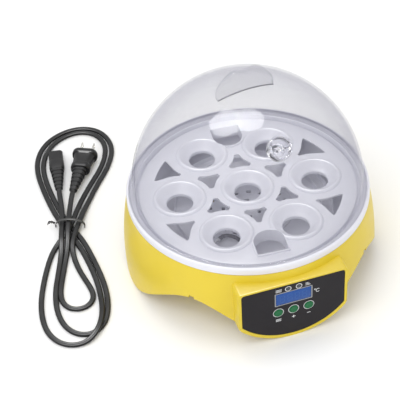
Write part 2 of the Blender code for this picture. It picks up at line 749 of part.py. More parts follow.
def build_fan():
    bm = bmesh.new()
    outline = rounded_box(FAN_HALF, FAN_HALF, 4.0)
    add_prism(bm, outline, FAN_Z, FAN_Z + FAN_T)
    frame = finished(bm, "fan_frame", LOOKS["dark"])
    bm = bmesh.new()
    add_post(bm, 0, 0, FAN_Z - 2, FAN_Z + FAN_T + 2, 28.4, steps=24)
    for x, y in FAN_CORNERS:
        add_post(bm, x, y, FAN_Z - 2, FAN_Z + FAN_T + 2, 1.75, steps=SMALL)
    cut(frame, bm, "cut_fan_bore")
    bm = bmesh.new()
    for i in range(3):
        add_prism(bm, rounded_box(9.5, 1.5, 0.5, 20.0, 0, 1), FAN_Z, FAN_Z + 2.4,
                  moved(turn=120.0 * i + 45))
    join(frame, bm, "add_fan_struts")
    bm = bmesh.new()
    add_post(bm, 0, 0, FAN_Z + 0.05, FAN_Z + 2.6, 12.0, steps=24)
    join(frame, bm, "add_fan_seat")

    place = moved(z=FAN_Z + 8.5)
    bm = bmesh.new()
    hub = ((0, -5.0), (11.4, -5.0), (11.4, 4.4), (10.6, 5.2), (0, 5.2))
    add_turned(bm, hub, 20, place)
    impeller = finished(bm, "fan_impeller", LOOKS["dark"], place)
    bm = bmesh.new()
    for i in range(7):
        blade = [(-4.6, -4.4), (-3.4, -4.8), (4.6, 4.0), (3.4, 4.4)]
        tilt = moved(z=FAN_Z + 8.5, turn=360.0 * i / 7)
        sideways = Matrix(((0, 0, 1, 0), (1, 0, 0, 0), (0, 1, 0, 0), (0, 0, 0, 1)))
        add_prism(bm, blade, 10.4, 27.2, tilt @ sideways)
    join(impeller, bm, "add_blades")

    for number, (x, y) in enumerate(FAN_CORNERS[:2], 1):
        screw(f"fan_screw_{number}", x, y, FAN_Z + FAN_T + 0.3, 23.0, 1.15, 2.8, flip=True)


def build_heater():
    bm = bmesh.new()
    carrier = ((29.0, HEATER_Z), (37.0, HEATER_Z), (37.0, HEATER_Z + 1.4), (29.0, HEATER_Z + 1.4))
    add_turned(bm, carrier, 24)
    ring = finished(bm, "heater_carrier", LOOKS["mica"])
    bm = bmesh.new()
    for angle in HEATER_ARM_ANGLES:
        outline = rounded_box(7.2, 3.0, 2.0, 41.6, 0, 2)
        add_prism(bm, outline, HEATER_Z + 0.05, HEATER_Z + 1.35, moved(turn=angle))
    join(ring, bm, "add_carrier_arms")

    bm = bmesh.new()
    centre_z = HEATER_Z - 2.4
    tube_profile = [
        (33.0 + 2.2 * math.cos(math.radians(a)), centre_z + 2.2 * math.sin(math.radians(a)))
        for a in range(0, 360, 60)
    ]
    add_turned(bm, tube_profile, 24)
    finished(bm, "heating_ring", LOOKS["element"])

    bm = bmesh.new()
    add_post(bm, 0, 0, -6, 6, 1.6, steps=SMALL)
    turn = Matrix.Rotation(math.radians(90), 4, "Y")
    bmesh.ops.transform(bm, matrix=moved(0, 33.0, HEATER_Z + 3.3) @ turn, verts=bm.verts)
    finished(bm, "thermal_fuse", LOOKS["steel"])


def build_power_supply():
    bm = bmesh.new()
    z = POWER_BOARD_Z
    add_box(bm, (-24.0, 34.0, z), (24.0, 57.0, z + 1.6))
    finished(bm, "power_board", LOOKS["board"])
    bm = bmesh.new()
    add_box(bm, (-20.0, 36.0, z + 1.9), (-3.0, 54.0, z + 15.0))
    finished(bm, "transformer", LOOKS["copper"])
    bm = bmesh.new()
    add_post(bm, 6.0, 42.0, z + 1.9, z + 15.0, 4.0)
    finished(bm, "smoothing_capacitor", LOOKS["dark"])
    bm = bmesh.new()
    add_box(bm, (12.0, 36.0, z + 1.9), (22.0, 51.0, z + 12.0))
    finished(bm, "heater_relay", LOOKS["blue"])


def build_inlet():
    """Two-pin figure-eight mains inlet in the back of the skirt."""
    bm = bmesh.new()
    add_prism(bm, rounded_box(10.8, 7.2, 2.0, 0, 60.5), 122.7, 124.1, UPRIGHT)
    inlet = finished(bm, "mains_inlet", LOOKS["dark"])
    bm = bmesh.new()
    add_prism(bm, rounded_box(8.9, 5.5, 1.8, 0, 60.5), 108.7, 123.6, UPRIGHT)
    join(inlet, bm, "add_inlet_body")
    bm = bmesh.new()
    socket = list(arc(3.9, 60.5, 3.9, -90, 90, 8)) + list(arc(-3.9, 60.5, 3.9, 90, 270, 8))
    add_prism(bm, socket, 113.6, 127.0, UPRIGHT)
    cut(inlet, bm, "cut_socket")
    for name, x in (("inlet_pin_left", -3.9), ("inlet_pin_right", 3.9)):
        place = Matrix.Translation(point(x, 113.9, 60.5)) @ Matrix.Rotation(-math.pi / 2, 4, "X")
        bm = bmesh.new()
        add_turned(bm, ((0, 0), (1.15, 0), (1.15, 7.6), (0.6, 8.2), (0, 8.2)), SMALL, place)
        finished(bm, name, LOOKS["steel"], place)


def build_wiring():
    tube("mains_wires", MAINS_ROUTE, MAINS_WIRE_R, LOOKS["cable"])
    tube("control_cable", CONTROL_ROUTE, CONTROL_CABLE_R, LOOKS["cable"])
    tube("heater_wires", HEATER_ROUTE, HEATER_WIRE_R, LOOKS["cable"])
    tube("sensor_lead", SENSOR_ROUTE, SENSOR_LEAD_R, LOOKS["cable"])
    bm = bmesh.new()
    x, y, z = SENSOR_ROUTE[-1]
    direction = Vector(SENSOR_ROUTE[-1]) - Vector(SENSOR_ROUTE[-2])
    turn = direction.to_track_quat("Z", "Y").to_matrix().to_4x4()
    place = Matrix.Translation(point(x, y, z)) @ turn
    profile = ((0, 0.3), (2.2, 0.3), (2.4, 1.4), (2.4, 9.0), (1.4, 11.0), (0, 11.4))
    add_turned(bm, profile, SMALL, place)
    finished(bm, "temperature_probe", LOOKS["steel"], place)


# ----------------------------------------------------------- mains lead

def lead_place(x, y, z, direction):
    """A place on the floor whose own z axis runs along the floor."""
    flat = Matrix.Rotation(math.radians(90.0), 4, "Y")
    return moved(x, y, z, turn=direction) @ flat


def ribbed(half_width, half_height, narrow, length, ribs):
    """Section sizes of a ribbed strain relief from its wide end to its cord end."""
    rows = []
    for i in range(ribs):
        for inset, spot in ((0.0, 0.12), (0.0, 0.58), (1.0, 0.66), (1.0, 0.98)):
            t = (i + spot) / ribs
            grow = 1.0 - t * (1.0 - narrow)
            rows.append((half_width * grow - inset, half_height * grow - inset * 0.8, length * t))
    return rows


def add_loft(bm, rows, corner_steps, place):
    """Joins rounded sections, each given as half width, half height and distance."""
    rings = []
    for half_x, half_y, distance in rows:
        corner = min(half_x, half_y) * 0.8
        outline = rounded_box(half_y, half_x, corner, steps=corner_steps)
        rings.append([bm.verts.new(place @ point(x, y, distance)) for x, y in outline])
    for ring, following in zip(rings, rings[1:]):
        for i in range(len(ring)):
            j = (i + 1) % len(ring)
            bm.faces.new((ring[i], ring[j], following[j], following[i]))
    bm.faces.new(rings[0])
    bm.faces.new(list(reversed(rings[-1])))


def build_connector():
    """Figure-eight plug that fits the inlet, with its ribbed relief."""
    nose = lead_place(*CONNECTOR_NOSE, CONNECTOR_Z, CONNECTOR_DIRECTION)
    bm = bmesh.new()
    rows = [(7.8, 4.2, -29.0), (8.0, 4.3, -25.0), (8.0, 4.3, -15.0), (7.7, 4.1, -13.6), (7.7, 4.1, 0)]
    add_loft(bm, rows, 2, nose)
    body = finished(bm, "lead_connector", LOOKS["cord"])
    bm = bmesh.new()
    for side in (-PIN_PITCH / 2, PIN_PITCH / 2):
        hole = nose @ Matrix.Translation(point(0, side, 0))
        add_turned(bm, ((0, -9), (1.4, -9), (1.4, 2), (0, 2)), 12, hole)
    cut(body, bm, "cut_connector_holes")

    back = nose @ Matrix.Translation(point(0, 0, -29.3)) @ Matrix.Rotation(math.pi, 4, "Y")
    bm = bmesh.new()
    add_loft(bm, ribbed(7.6, 4.2, 0.5, 33.0, 4), 1, back)
    finished(bm, "connector_relief", LOOKS["cord"])


def build_plug():
    """Two-blade mains plug with its ribbed relief."""
    face = lead_place(*PLUG_FACE, PLUG_Z, PLUG_DIRECTION)
    bm = bmesh.new()
    rows = [
        (7.6, 6.2, -28.0), (9.6, 7.2, -25.6), (9.6, 7.2, -23.0), (12.2, 8.0, -6.2),
        (13.6, 8.5, -4.2), (13.6, 8.5, -0.8), (12.9, 7.9, 0),
    ]
    add_loft(bm, rows, 2, face)
    body = finished(bm, "plug_body", LOOKS["cord"])
    bm = bmesh.new()
    for side in (-BLADE_PITCH / 2, BLADE_PITCH / 2):
        slot = face @ Matrix.Translation(point(0, side, 0))
        add_prism(bm, rounded_box(3.5, 1.05, 0.3, steps=1), -9.0, 2.0, slot)
    cut(body, bm, "cut_blade_slots")

    back = face @ Matrix.Translation(point(0, 0, -28.3)) @ Matrix.Rotation(math.pi, 4, "Y")
    bm = bmesh.new()
    add_loft(bm, ribbed(8.0, 6.0, 0.48, 35.0, 4), 1, back)
    finished(bm, "plug_relief", LOOKS["cord"])

    for name, side in (("plug_blade_left", BLADE_PITCH / 2), ("plug_blade_right", -BLADE_PITCH / 2)):
        place = face @ Matrix.Translation(point(0, side, 0))
        bm = bmesh.new()
        add_prism(bm, rounded_box(3.17, 0.75, 0.25, steps=1), -8.6, 15.4, place)
        blade = finished(bm, name, LOOKS["steel"], place)
        bm = bmesh.new()
        across = place @ Matrix.Translation(point(0, 0, 11.6)) @ Matrix.Rotation(math.pi / 2, 4, "X")
        add_turned(bm, ((0, -3), (1.6, -3), (1.6, 3), (0, 3)), 12, across)
        cut(blade, bm, f"{name}_hole")


def build_hank():
    """Outer shape of the folded lead, open inside its upper loop."""
    bm = bmesh.new()
    add_prism(bm, [(x, y) for x, y in smooth_loop(HANK_OUTER, 2)], HANK_LOW, HANK_HIGH)
    hank = finished(bm, "lead_hank", LOOKS["cord"])
    bm = bmesh.new()
    add_prism(bm, [(x, y) for x, y in smooth_loop(HANK_INNER, 2)], -5.0, 20.0)
    cut(hank, bm, "cut_hank_loop")
    tube("lead_tail_connector", CONNECTOR_TAIL, TAIL_R, LOOKS["cord"])
    tube("lead_tail_plug", PLUG_TAIL, TAIL_R, LOOKS["cord"])

    place = moved(*TIE_PLACE, turn=-22.0)
    bm = bmesh.new()
    arch = [(20.2, 0.3), (20.2, 9.6), (18.0, 12.4), (-18.0, 12.4), (-20.2, 9.6), (-20.2, 0.3)]
    inside = [(-18.8, 0.3), (-18.8, 9.2), (-17.4, 10.9), (17.4, 10.9), (18.8, 9.2), (18.8, 0.3)]
    add_prism(bm, arch + inside, -1.2, 1.2, place @ UPRIGHT)
    finished(bm, "twist_tie", LOOKS["dark"], place)


# -------------------------------------------------- places worked out once

BOARD_POSTS = ((-40.0, 33.0), (40.0, 62.0))
COVER_SCREW_ANGLES = (45.0, 135.0, 225.0, 315.0)
BOWL_SCREW_ANGLES = (30.0, 150.0, 270.0)
HEATER_ARM_ANGLES = (30.0, 150.0, 270.0)
HEATER_POST_R = 46.0
HEATER_Z = 46.4
POWER_BOARD_Z = 18.0
FAN_CORNERS = ((25.0, 25.0), (-25.0, -25.0), (-25.0, 25.0), (25.0, -25.0))
LEAD_HOLE = on_circle(54.0, -112.0)
SLOT = ((-1.7, -2.4), (1.7, -2.4), (1.7, 2.4), (-1.7, 2.4))

MAINS_ROUTE = (
    (6.0, 111.0, 54.6), (6.0, 111.0, 51.4), (9.0, 106.0, 49.2), (14.0, 90.0, 49.2),
    (18.0, 74.0, 49.2), (18.6, 66.0, 48.6), (18.6, 61.4, 43.0), (18.4, 59.6, 35.0),
    (14.0, 57.0, 27.0), (10.6, 55.0, 23.0), (10.2, 54.6, 20.2),
)
CONTROL_ROUTE = (
    (14.0, -111.8, 40.0), (14.0, -111.0, 45.0), (15.5, -107.4, 49.2), (20.0, -98.0, 49.2),
    (27.0, -78.0, 49.3), (30.0, -68.0, 49.6), (31.6, -60.6, 47.6), (32.0, -54.0, 41.0),
    (33.0, -51.0, 30.0), (40.0, -45.0, 20.0), (50.0, -33.0, 15.0), (57.0, -16.0, 13.5),
    (58.5, 4.0, 13.5), (52.0, 24.0, 14.5), (39.0, 38.0, 16.5), (26.4, 46.0, 18.6),
)
HEATER_ROUTE = (
    (0.0, 36.0, 44.0), (1.0, 41.0, 43.4), (4.0, 46.0, 41.0), (8.0, 49.0, 34.0),
    (9.0, 49.4, 26.0), (9.0, 49.4, 20.2),
)
SENSOR_ROUTE = (
    (-20.2, -45.0, 46.6), (-20.2, -49.4, 49.0), (-20.3, -50.2, 53.0), (-21.4, -47.6, 56.2),
    (-24.6, -39.5, 56.6), (-29.4, -33.6, 56.8), (-36.4, -31.4, 56.8), (-41.5, -34.6, 56.8),
)

# The knob stands on the dome along the sphere's own radius.
KNOB_DIRECTION = Vector((
    math.cos(math.radians(KNOB_ELEVATION)) * math.cos(math.radians(DOME_YAW - 90.0)),
    math.cos(math.radians(KNOB_ELEVATION)) * math.sin(math.radians(DOME_YAW - 90.0)),
    math.sin(math.radians(KNOB_ELEVATION)),
))
KNOB_PLACE = (
    Matrix.Translation(point(0, 0, DOME_CENTRE_Z) + KNOB_DIRECTION * DOME_R * MM)
    @ KNOB_DIRECTION.to_track_quat("Z", "Y").to_matrix().to_4x4()
)

# Mains lead, lying on the floor beside the base
CONNECTOR_NOSE = (-150.1, 209.2)
PLUG_FACE = (-120.2, 191.8)
TIE_PLACE = (-166.5, 95.0, 0.0)
CONNECTOR_TAIL = (
    (-161.1, 146.3, 4.6), (-162.0, 140.0, 4.2), (-162.4, 133.0, 3.6), (-162.6, 126.0, 3.2),
)
PLUG_TAIL = ((-149.8, 134.0, 8.7), (-151.6, 130.6, 8.2), (-153.4, 127.4, 7.6), (-155.0, 124.4, 7.2))
HANK_OUTER = (
    (-183.0, 95.0), (-181.0, 125.0), (-181.0, 155.0), (-182.0, 185.0), (-176.0, 212.0),
    (-162.0, 232.0), (-144.0, 245.0), (-122.0, 250.0), (-104.0, 246.0), (-90.0, 233.0),
    (-84.0, 212.0), (-86.0, 190.0), (-99.0, 166.0), (-118.0, 141.0), (-136.0, 118.0),
    (-150.0, 95.0), (-152.0, 72.0), (-149.0, 45.0), (-147.0, 15.0), (-148.0, -10.0),
    (-155.0, -35.0), (-166.0, -52.0), (-181.0, -67.0), (-200.0, -75.0), (-216.0, -66.0),
    (-225.0, -45.0), (-227.0, -20.0), (-222.0, 5.0), (-210.0, 33.0), (-196.0, 60.0),
)
HANK_INNER = (
    (-158.0, 117.0), (-166.0, 128.0), (-167.0, 150.0), (-168.0, 185.0), (-163.0, 205.0),
    (-153.0, 220.0), (-138.0, 231.0), (-120.0, 235.0), (-108.0, 231.0), (-99.0, 221.0),
    (-96.0, 207.0), (-99.5, 193.0), (-111.5, 174.0), (-130.0, 151.0), (-146.5, 127.0),
)

clear_scene()
LOOKS = {
    "helper": material("helper", (0.5, 0.5, 0.5), 0.5),
    "yellow": material("yellow_plastic", (0.80, 0.62, 0.03), 0.42),
    "white": material("white_plastic", (0.82, 0.82, 0.85), 0.38),
    "clear": material("clear_plastic", (0.86, 0.87, 0.92), 0.05, alpha=0.25),
    "black": material("black_fascia", (0.015, 0.015, 0.017), 0.35),
    "blue": material("blue_window", (0.05, 0.16, 0.45), 0.15),
    "green": material("green_button", (0.03, 0.30, 0.09), 0.35),
    "lamp": material("lamp_lens", (0.85, 0.87, 0.88), 0.15),
    "dark": material("dark_plastic", (0.03, 0.03, 0.03), 0.45),
    "cord": material("cord_vinyl", (0.02, 0.02, 0.022), 0.42),
    "cable": material("cable_jacket", (0.025, 0.025, 0.027), 0.40),
    "steel": material("bright_steel", (0.66, 0.66, 0.68), 0.25, metallic=1.0),
    "board": material("circuit_board", (0.03, 0.22, 0.10), 0.40),
    "mica": material("mica_sheet", (0.55, 0.48, 0.38), 0.60),
    "element": material("heating_element", (0.30, 0.28, 0.27), 0.35, metallic=1.0),
    "copper": material("transformer_tape", (0.72, 0.55, 0.12), 0.50),
}

build_lower_housing()
build_bottom_cover()
build_cover_screws()
build_water_bowl()
build_vent_plate()
build_egg_tray()
dome_object = build_dome()
build_vent_knob(dome_object)
build_panel()
build_buttons()
build_display_and_lamps()
build_control_board()
build_fan()
build_heater()
build_power_supply()
build_inlet()
build_wiring()
build_connector()
build_plug()
build_hank()
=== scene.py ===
"""Seven-egg dome incubator with its folded mains lead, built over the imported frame.

Lengths are millimetres and become metres when a mesh is made. The base is centred
on z, stands on z = 0, and its console faces -Y.
"""

import json
import math

import bmesh
import bpy
from mathutils import Matrix, Vector


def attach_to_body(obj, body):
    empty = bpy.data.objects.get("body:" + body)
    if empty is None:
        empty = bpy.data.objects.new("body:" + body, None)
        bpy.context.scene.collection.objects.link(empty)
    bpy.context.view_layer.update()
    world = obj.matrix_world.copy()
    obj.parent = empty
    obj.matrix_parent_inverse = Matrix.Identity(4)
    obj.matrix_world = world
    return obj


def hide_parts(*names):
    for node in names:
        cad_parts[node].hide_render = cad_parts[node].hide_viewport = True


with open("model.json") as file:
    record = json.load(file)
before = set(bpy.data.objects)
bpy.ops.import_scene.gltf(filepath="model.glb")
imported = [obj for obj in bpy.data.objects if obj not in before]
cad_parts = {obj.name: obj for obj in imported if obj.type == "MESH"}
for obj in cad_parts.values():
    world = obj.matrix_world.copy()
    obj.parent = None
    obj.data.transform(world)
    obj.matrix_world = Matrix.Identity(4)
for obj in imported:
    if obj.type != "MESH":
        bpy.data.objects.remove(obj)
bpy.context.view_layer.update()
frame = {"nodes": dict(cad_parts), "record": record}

MM = 0.001

# Base shell
RIM_Z = 79.0
RIM_R = 117.5
BELLY_R = 124.2
BELLY_Z = 17.0
WALL = 2.7
SHELF_Z = 47.0
SHELF_UNDERSIDE = 44.2
SHELF_OPENING_R = 72.0
ARCH_HEIGHT = 43.5
NOTCH_HEIGHT = 3.0
NOTCH_HALF_ANGLE = 1.2
COVER_SCREW_R = 78.0
BOWL_BOSS_R = 92.0
SCREW_HOLE_R = 1.75
INLET_Z = 60.5

# Console
FRONT_Y = -125.4
CONSOLE_HALF = 53.5
CONSOLE_TOP = 71.0
CONSOLE_ARC_Z = 68.37
CONSOLE_SIDE_END_Z = 25.8
CONSOLE_BACK_Y = -102.0
PANEL_HALF = 50.25
PANEL_TOP = 69.0
PANEL_ARC_R = 64.6
PANEL_T = 0.8
PANEL_Y = FRONT_Y + 0.1
PRINT_Y = PANEL_Y - 0.04
PRINT_T = 0.06
BUTTON_X = (-15.0, 0.0, 15.0)
BUTTON_Z = 35.6
BUTTON_R = 4.3
LED_X = (-5.25, 5.25)
LED_Z = 64.0
DISPLAY_Z = 52.5
MARK_Z = 25.6

# Bowl, tray and dome
FLOOR_Z = 54.0
LEDGE_Z = 83.0
VENT_RINGS = ((12.0, 6, 17.0), (24.5, 12, 10.0), (37.0, 20, 15.0))
SENSOR_HOLE = (54.0, -112.0)
SENSOR_HOLE_R = 3.6
TRAY_TOP = 81.5
TRAY_R = 105.3
TRAY_YAW = -6.5
CUP_PITCH = 67.0
SMALL_WINDOW_TURNS = tuple(30.0 + 60.0 * i for i in range(6))
LARGE_WINDOW_TURNS = tuple(30.0 + 60.0 * i for i in (0, 2, 3, 5))
FINGER_TURNS = (92.0, 272.0)
DOME_YAW = 6.0
DOME_R = 111.6
DOME_T = 2.2
DOME_CENTRE_Z = 90.8
GRIP_HALF_T = 2.2
GRIP_REACH = 28
GRIP_CROWN_Z = 205.5
KNOB_ELEVATION = 52.6
KNOB_HOLE_R = 6.4

# Mains lead
CORD_WIDTH = 5.5
CORD_HEIGHT = 3.3
PLUG_DIRECTION = 62.9
CONNECTOR_DIRECTION = 80.0
CONNECTOR_NOSE = (-150.1, 209.2)
CONNECTOR_Z = 4.6
PLUG_FACE = (-120.2, 191.8)
PLUG_Z = 8.8
PIN_PITCH = 7.8
BLADE_PITCH = 12.7

# Camera. Its offset from the rim's centre, right, down and back, is in metres.
CAMERA_AZIMUTH = -15.5
CAMERA_ELEVATION = 42.2
CAMERA_ROLL = 3.6
CAMERA_OFFSET = (0.0461, -0.0104, 1.350)
CAMERA_LENS = 125.5


# ---------------------------------------------------------------- geometry

def point(x, y, z):
    return Vector((x * MM, y * MM, z * MM))


def on_circle(radius, degrees):
    angle = math.radians(degrees)
    return radius * math.cos(angle), radius * math.sin(angle)


def moved(x=0.0, y=0.0, z=0.0, turn=0.0):
    return Matrix.Translation(point(x, y, z)) @ Matrix.Rotation(math.radians(turn), 4, "Z")


def facing_front(x, y, z):
    return Matrix.Translation(point(x, y, z)) @ Matrix.Rotation(math.radians(90.0), 4, "X")


# Draws an outline in X and Z and extrudes it along Y.
UPRIGHT = Matrix(((1, 0, 0, 0), (0, 0, 1, 0), (0, 1, 0, 0), (0, 0, 0, 1)))


def arc(cx, cy, radius, start, end, steps):
    for step in range(steps + 1):
        angle = math.radians(start + (end - start) * step / steps)
        yield (cx + radius * math.cos(angle), cy + radius * math.sin(angle))


def rounded_box(half_x, half_y, corner, cx=0.0, cy=0.0, steps=6):
    outline = []
    for turn, sx, sy in ((0, 1, 1), (90, -1, 1), (180, -1, -1), (270, 1, -1)):
        x = cx + sx * (half_x - corner)
        y = cy + sy * (half_y - corner)
        outline += arc(x, y, corner, turn, turn + 90, steps)
    return outline


def rounded_profile(corners, steps=4):
    """A closed profile whose corners are rounded. Each corner is (r, z, radius)."""
    result = []
    count = len(corners)
    for i, (r, z, radius) in enumerate(corners):
        here = Vector((r, z))
        before = Vector(corners[i - 1][:2]) - here
        after = Vector(corners[(i + 1) % count][:2]) - here
        if radius <= 0:
            result.append((r, z))
            continue
        reach = min(radius, before.length * 0.49, after.length * 0.49)
        start = here + before.normalized() * reach
        end = here + after.normalized() * reach
        for step in range(steps + 1):
            t = step / steps
            bent = start * (1 - t) ** 2 + here * 2 * t * (1 - t) + end * t * t
            result.append((bent.x, bent.y))
    return result


def add_turned(bm, profile, steps, place=Matrix(), closed=None):
    if closed is None:
        closed = profile[0][0] > 0 or profile[-1][0] > 0
    rings = []
    for r, z in profile:
        if r <= 1e-6:
            rings.append([bm.verts.new(place @ point(0, 0, z))])
            continue
        ring = []
        for step in range(steps):
            x, y = on_circle(r, 360.0 * step / steps)
            ring.append(bm.verts.new(place @ point(x, y, z)))
        rings.append(ring)
    pairs = list(zip(rings, rings[1:]))
    if closed:
        pairs.append((rings[-1], rings[0]))
    for ring, following in pairs:
        bridge(bm, ring, following)


def bridge(bm, ring, following):
    steps = max(len(ring), len(following))
    if len(ring) == 1 and len(following) == 1:
        return
    for i in range(steps):
        j = (i + 1) % steps
        if len(ring) == 1:
            bm.faces.new((ring[0], following[i], following[j]))
        elif len(following) == 1:
            bm.faces.new((ring[i], ring[j], following[0]))
        else:
            bm.faces.new((ring[i], ring[j], following[j], following[i]))


def close_tube(bm, rings):
    """Joins the rings in order and caps both ends."""
    for ring, following in zip(rings, rings[1:]):
        bridge(bm, ring, following)
    bm.faces.new(rings[0])
    bm.faces.new(list(reversed(rings[-1])))


def add_prism(bm, outline, low, high, place=Matrix()):
    count = len(outline)
    bottom = [bm.verts.new(place @ point(x, y, low)) for x, y in outline]
    top = [bm.verts.new(place @ point(x, y, high)) for x, y in outline]
    bm.faces.new(bottom)
    bm.faces.new(list(reversed(top)))
    for i in range(count):
        j = (i + 1) % count
        bm.faces.new((bottom[i], top[i], top[j], bottom[j]))


def add_frame(bm, outer, inner, low, high, place=Matrix()):
    """A flat ring between two outlines with the same number of points."""
    count = len(outer)
    loops = []
    for outline, height in ((outer, low), (outer, high), (inner, high), (inner, low)):
        loops.append([bm.verts.new(place @ point(x, y, height)) for x, y in outline])
    for a, b in zip(loops, loops[1:] + loops[:1]):
        for i in range(count):
            j = (i + 1) % count
            bm.faces.new((a[i], a[j], b[j], b[i]))


def add_box(bm, low, high):
    (x0, y0, z0), (x1, y1, z1) = low, high
    add_prism(bm, ((x0, y0), (x1, y0), (x1, y1), (x0, y1)), z0, z1)


def add_post(bm, x, y, low, high, radius, steps=32):
    add_turned(bm, ((0, low), (radius, low), (radius, high), (0, high)), steps, moved(x, y))


def add_drill(bm, radius, reach, steps, place):
    """A round cutter that reaches as far behind its place as in front of it."""
    add_turned(bm, ((0, -reach), (radius, -reach), (radius, reach), (0, reach)), steps, place)


def add_loft(bm, rows, corner_steps, place):
    """Joins rounded sections, each given as half width, half height and distance."""
    rings = []
    for half_x, half_y, distance in rows:
        corner = min(half_x, half_y) * 0.85
        outline = rounded_box(half_y, half_x, corner, steps=corner_steps)
        rings.append([bm.verts.new(place @ point(x, y, distance)) for x, y in outline])
    close_tube(bm, rings)


def attach(obj, body, slot, *replaced):
    """Says which body a piece rides on and the CAD nodes it stands for; its finish, the slot, is not
    used.
    """
    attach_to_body(obj, body)
    if replaced:
        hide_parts(*replaced)


def piece(bm, name, look, body, slot=None, replaces=(), sharp=30.0):
    """Turns a bmesh into a finished piece, or into a plain object when it has no body."""
    bmesh.ops.recalc_face_normals(bm, faces=bm.faces)
    mesh = bpy.data.meshes.new(name)
    bm.to_mesh(mesh)
    bm.free()
    mesh.shade_smooth()
    mesh.set_sharp_from_angle(angle=math.radians(sharp))
    mesh.materials.append(look)
    obj = bpy.data.objects.new(name, mesh)
    bpy.context.scene.collection.objects.link(obj)
    if body:
        attach(obj, body, slot, *replaces)
    return obj


def combine(obj, tool_mesh, operation, solver="EXACT"):
    """Applies a Boolean at once and removes the tool."""
    tool = piece(tool_mesh, "tool", obj.data.materials[0], None)
    modifier = obj.modifiers.new("shape", "BOOLEAN")
    modifier.object = tool
    modifier.operation = operation
    modifier.solver = solver
    bpy.context.view_layer.update()
    graph = bpy.context.evaluated_depsgraph_get()
    mesh = bpy.data.meshes.new_from_object(obj.evaluated_get(graph))
    obj.modifiers.clear()
    old = obj.data
    obj.data = mesh
    mesh.name = obj.name
    bpy.data.meshes.remove(old)
    bpy.data.objects.remove(tool)
    mesh.shade_smooth()
    mesh.set_sharp_from_angle(angle=math.radians(30.0))


def curve_through(points, spacing):
    """Even points on a Catmull-Rom curve through the points."""
    dense = []
    count = len(points)
    for i in range(count - 1):
        p = [Vector(points[min(max(i + k, 0), count - 1)]) for k in (-1, 0, 1, 2)]
        for step in range(16):
            t = step / 16
            dense.append(0.5 * (
                2 * p[1] + (p[2] - p[0]) * t
                + (2 * p[0] - 5 * p[1] + 4 * p[2] - p[3]) * t * t
                + (3 * p[1] - p[0] - 3 * p[2] + p[3]) * t ** 3
            ))
    dense.append(Vector(points[-1]))
    even = [dense[0]]
    carried = 0.0
    for a, b in zip(dense, dense[1:]):
        step = (b - a).length
        while carried + step >= spacing:
            a = a + (b - a).normalized() * (spacing - carried)
            step = (b - a).length
            even.append(a.copy())
            carried = 0.0
        carried += step
    even[-1] = dense[-1]
    return even


def relaxed(points, rounds):
    """Evens out kinks, with both ends and their directions held."""
    points = [p.copy() for p in points]
    for _ in range(rounds):
        before = [p.copy() for p in points]
        for i in range(3, len(points) - 3):
            middle = (before[i - 1] + before[i + 1]) * 0.5
            points[i] = before[i].lerp(middle, 0.5)
    return points


# --------------------------------------------------------------- materials

def base_material(name):
    look = bpy.data.materials.new(name)
    look.use_nodes = True
    nodes = look.node_tree.nodes
    return look, nodes, look.node_tree.links, nodes["Principled BSDF"]


def noise(nodes, links, coords, scale, detail=4.0, roughness=0.55):
    node = nodes.new("ShaderNodeTexNoise")
    node.inputs["Scale"].default_value = scale
    node.inputs["Detail"].default_value = detail
    node.inputs["Roughness"].default_value = roughness
    links.new(coords.outputs["Object"], node.inputs["Vector"])
    return node


def ramp(nodes, links, source, low, high, from_low=0.3, from_high=0.7):
    node = nodes.new("ShaderNodeMapRange")
    node.inputs["From Min"].default_value = from_low
    node.inputs["From Max"].default_value = from_high
    node.inputs["To Min"].default_value = low
    node.inputs["To Max"].default_value = high
    links.new(source, node.inputs["Value"])
    return node.outputs["Result"]


def mixed(nodes, links, factor, first, second):
    node = nodes.new("ShaderNodeMix")
    node.data_type = "RGBA"
    node.inputs["A"].default_value = (*first, 1.0)
    node.inputs["B"].default_value = (*second, 1.0)
    links.new(factor, node.inputs["Factor"])
    return node.outputs["Result"]


def moulded(
    name, colour, roughness, metallic=0.0, shift=0.05, grain=900.0, bump=0.04, specular=0.5,
):
    """Moulded plastic or plated metal with faint mottling, fine texture and soft flow marks."""
    look, nodes, links, shader = base_material(name)
    coords = nodes.new("ShaderNodeTexCoord")
    broad = noise(nodes, links, coords, 18.0, 3.0)
    fine = noise(nodes, links, coords, grain, 6.0, 0.65)
    smudge = noise(nodes, links, coords, 70.0, 5.0, 0.6)
    darker = tuple(c * (1.0 - shift) for c in colour)
    lighter = tuple(min(1.0, c * (1.0 + shift * 0.6)) for c in colour)
    factor = ramp(nodes, links, broad.outputs["Fac"], 0.0, 1.0)
    links.new(mixed(nodes, links, factor, darker, lighter), shader.inputs["Base Color"])
    spread = ramp(nodes, links, smudge.outputs["Fac"], roughness * 0.86, roughness * 1.16)
    links.new(spread, shader.inputs["Roughness"])
    shader.inputs["Metallic"].default_value = metallic
    shader.inputs["Specular IOR Level"].default_value = specular
    height = nodes.new("ShaderNodeBump")
    height.inputs["Strength"].default_value = bump
    height.inputs["Distance"].default_value = 0.0004
    links.new(fine.outputs["Fac"], height.inputs["Height"])
    links.new(height.outputs["Normal"], shader.inputs["Normal"])
    return look


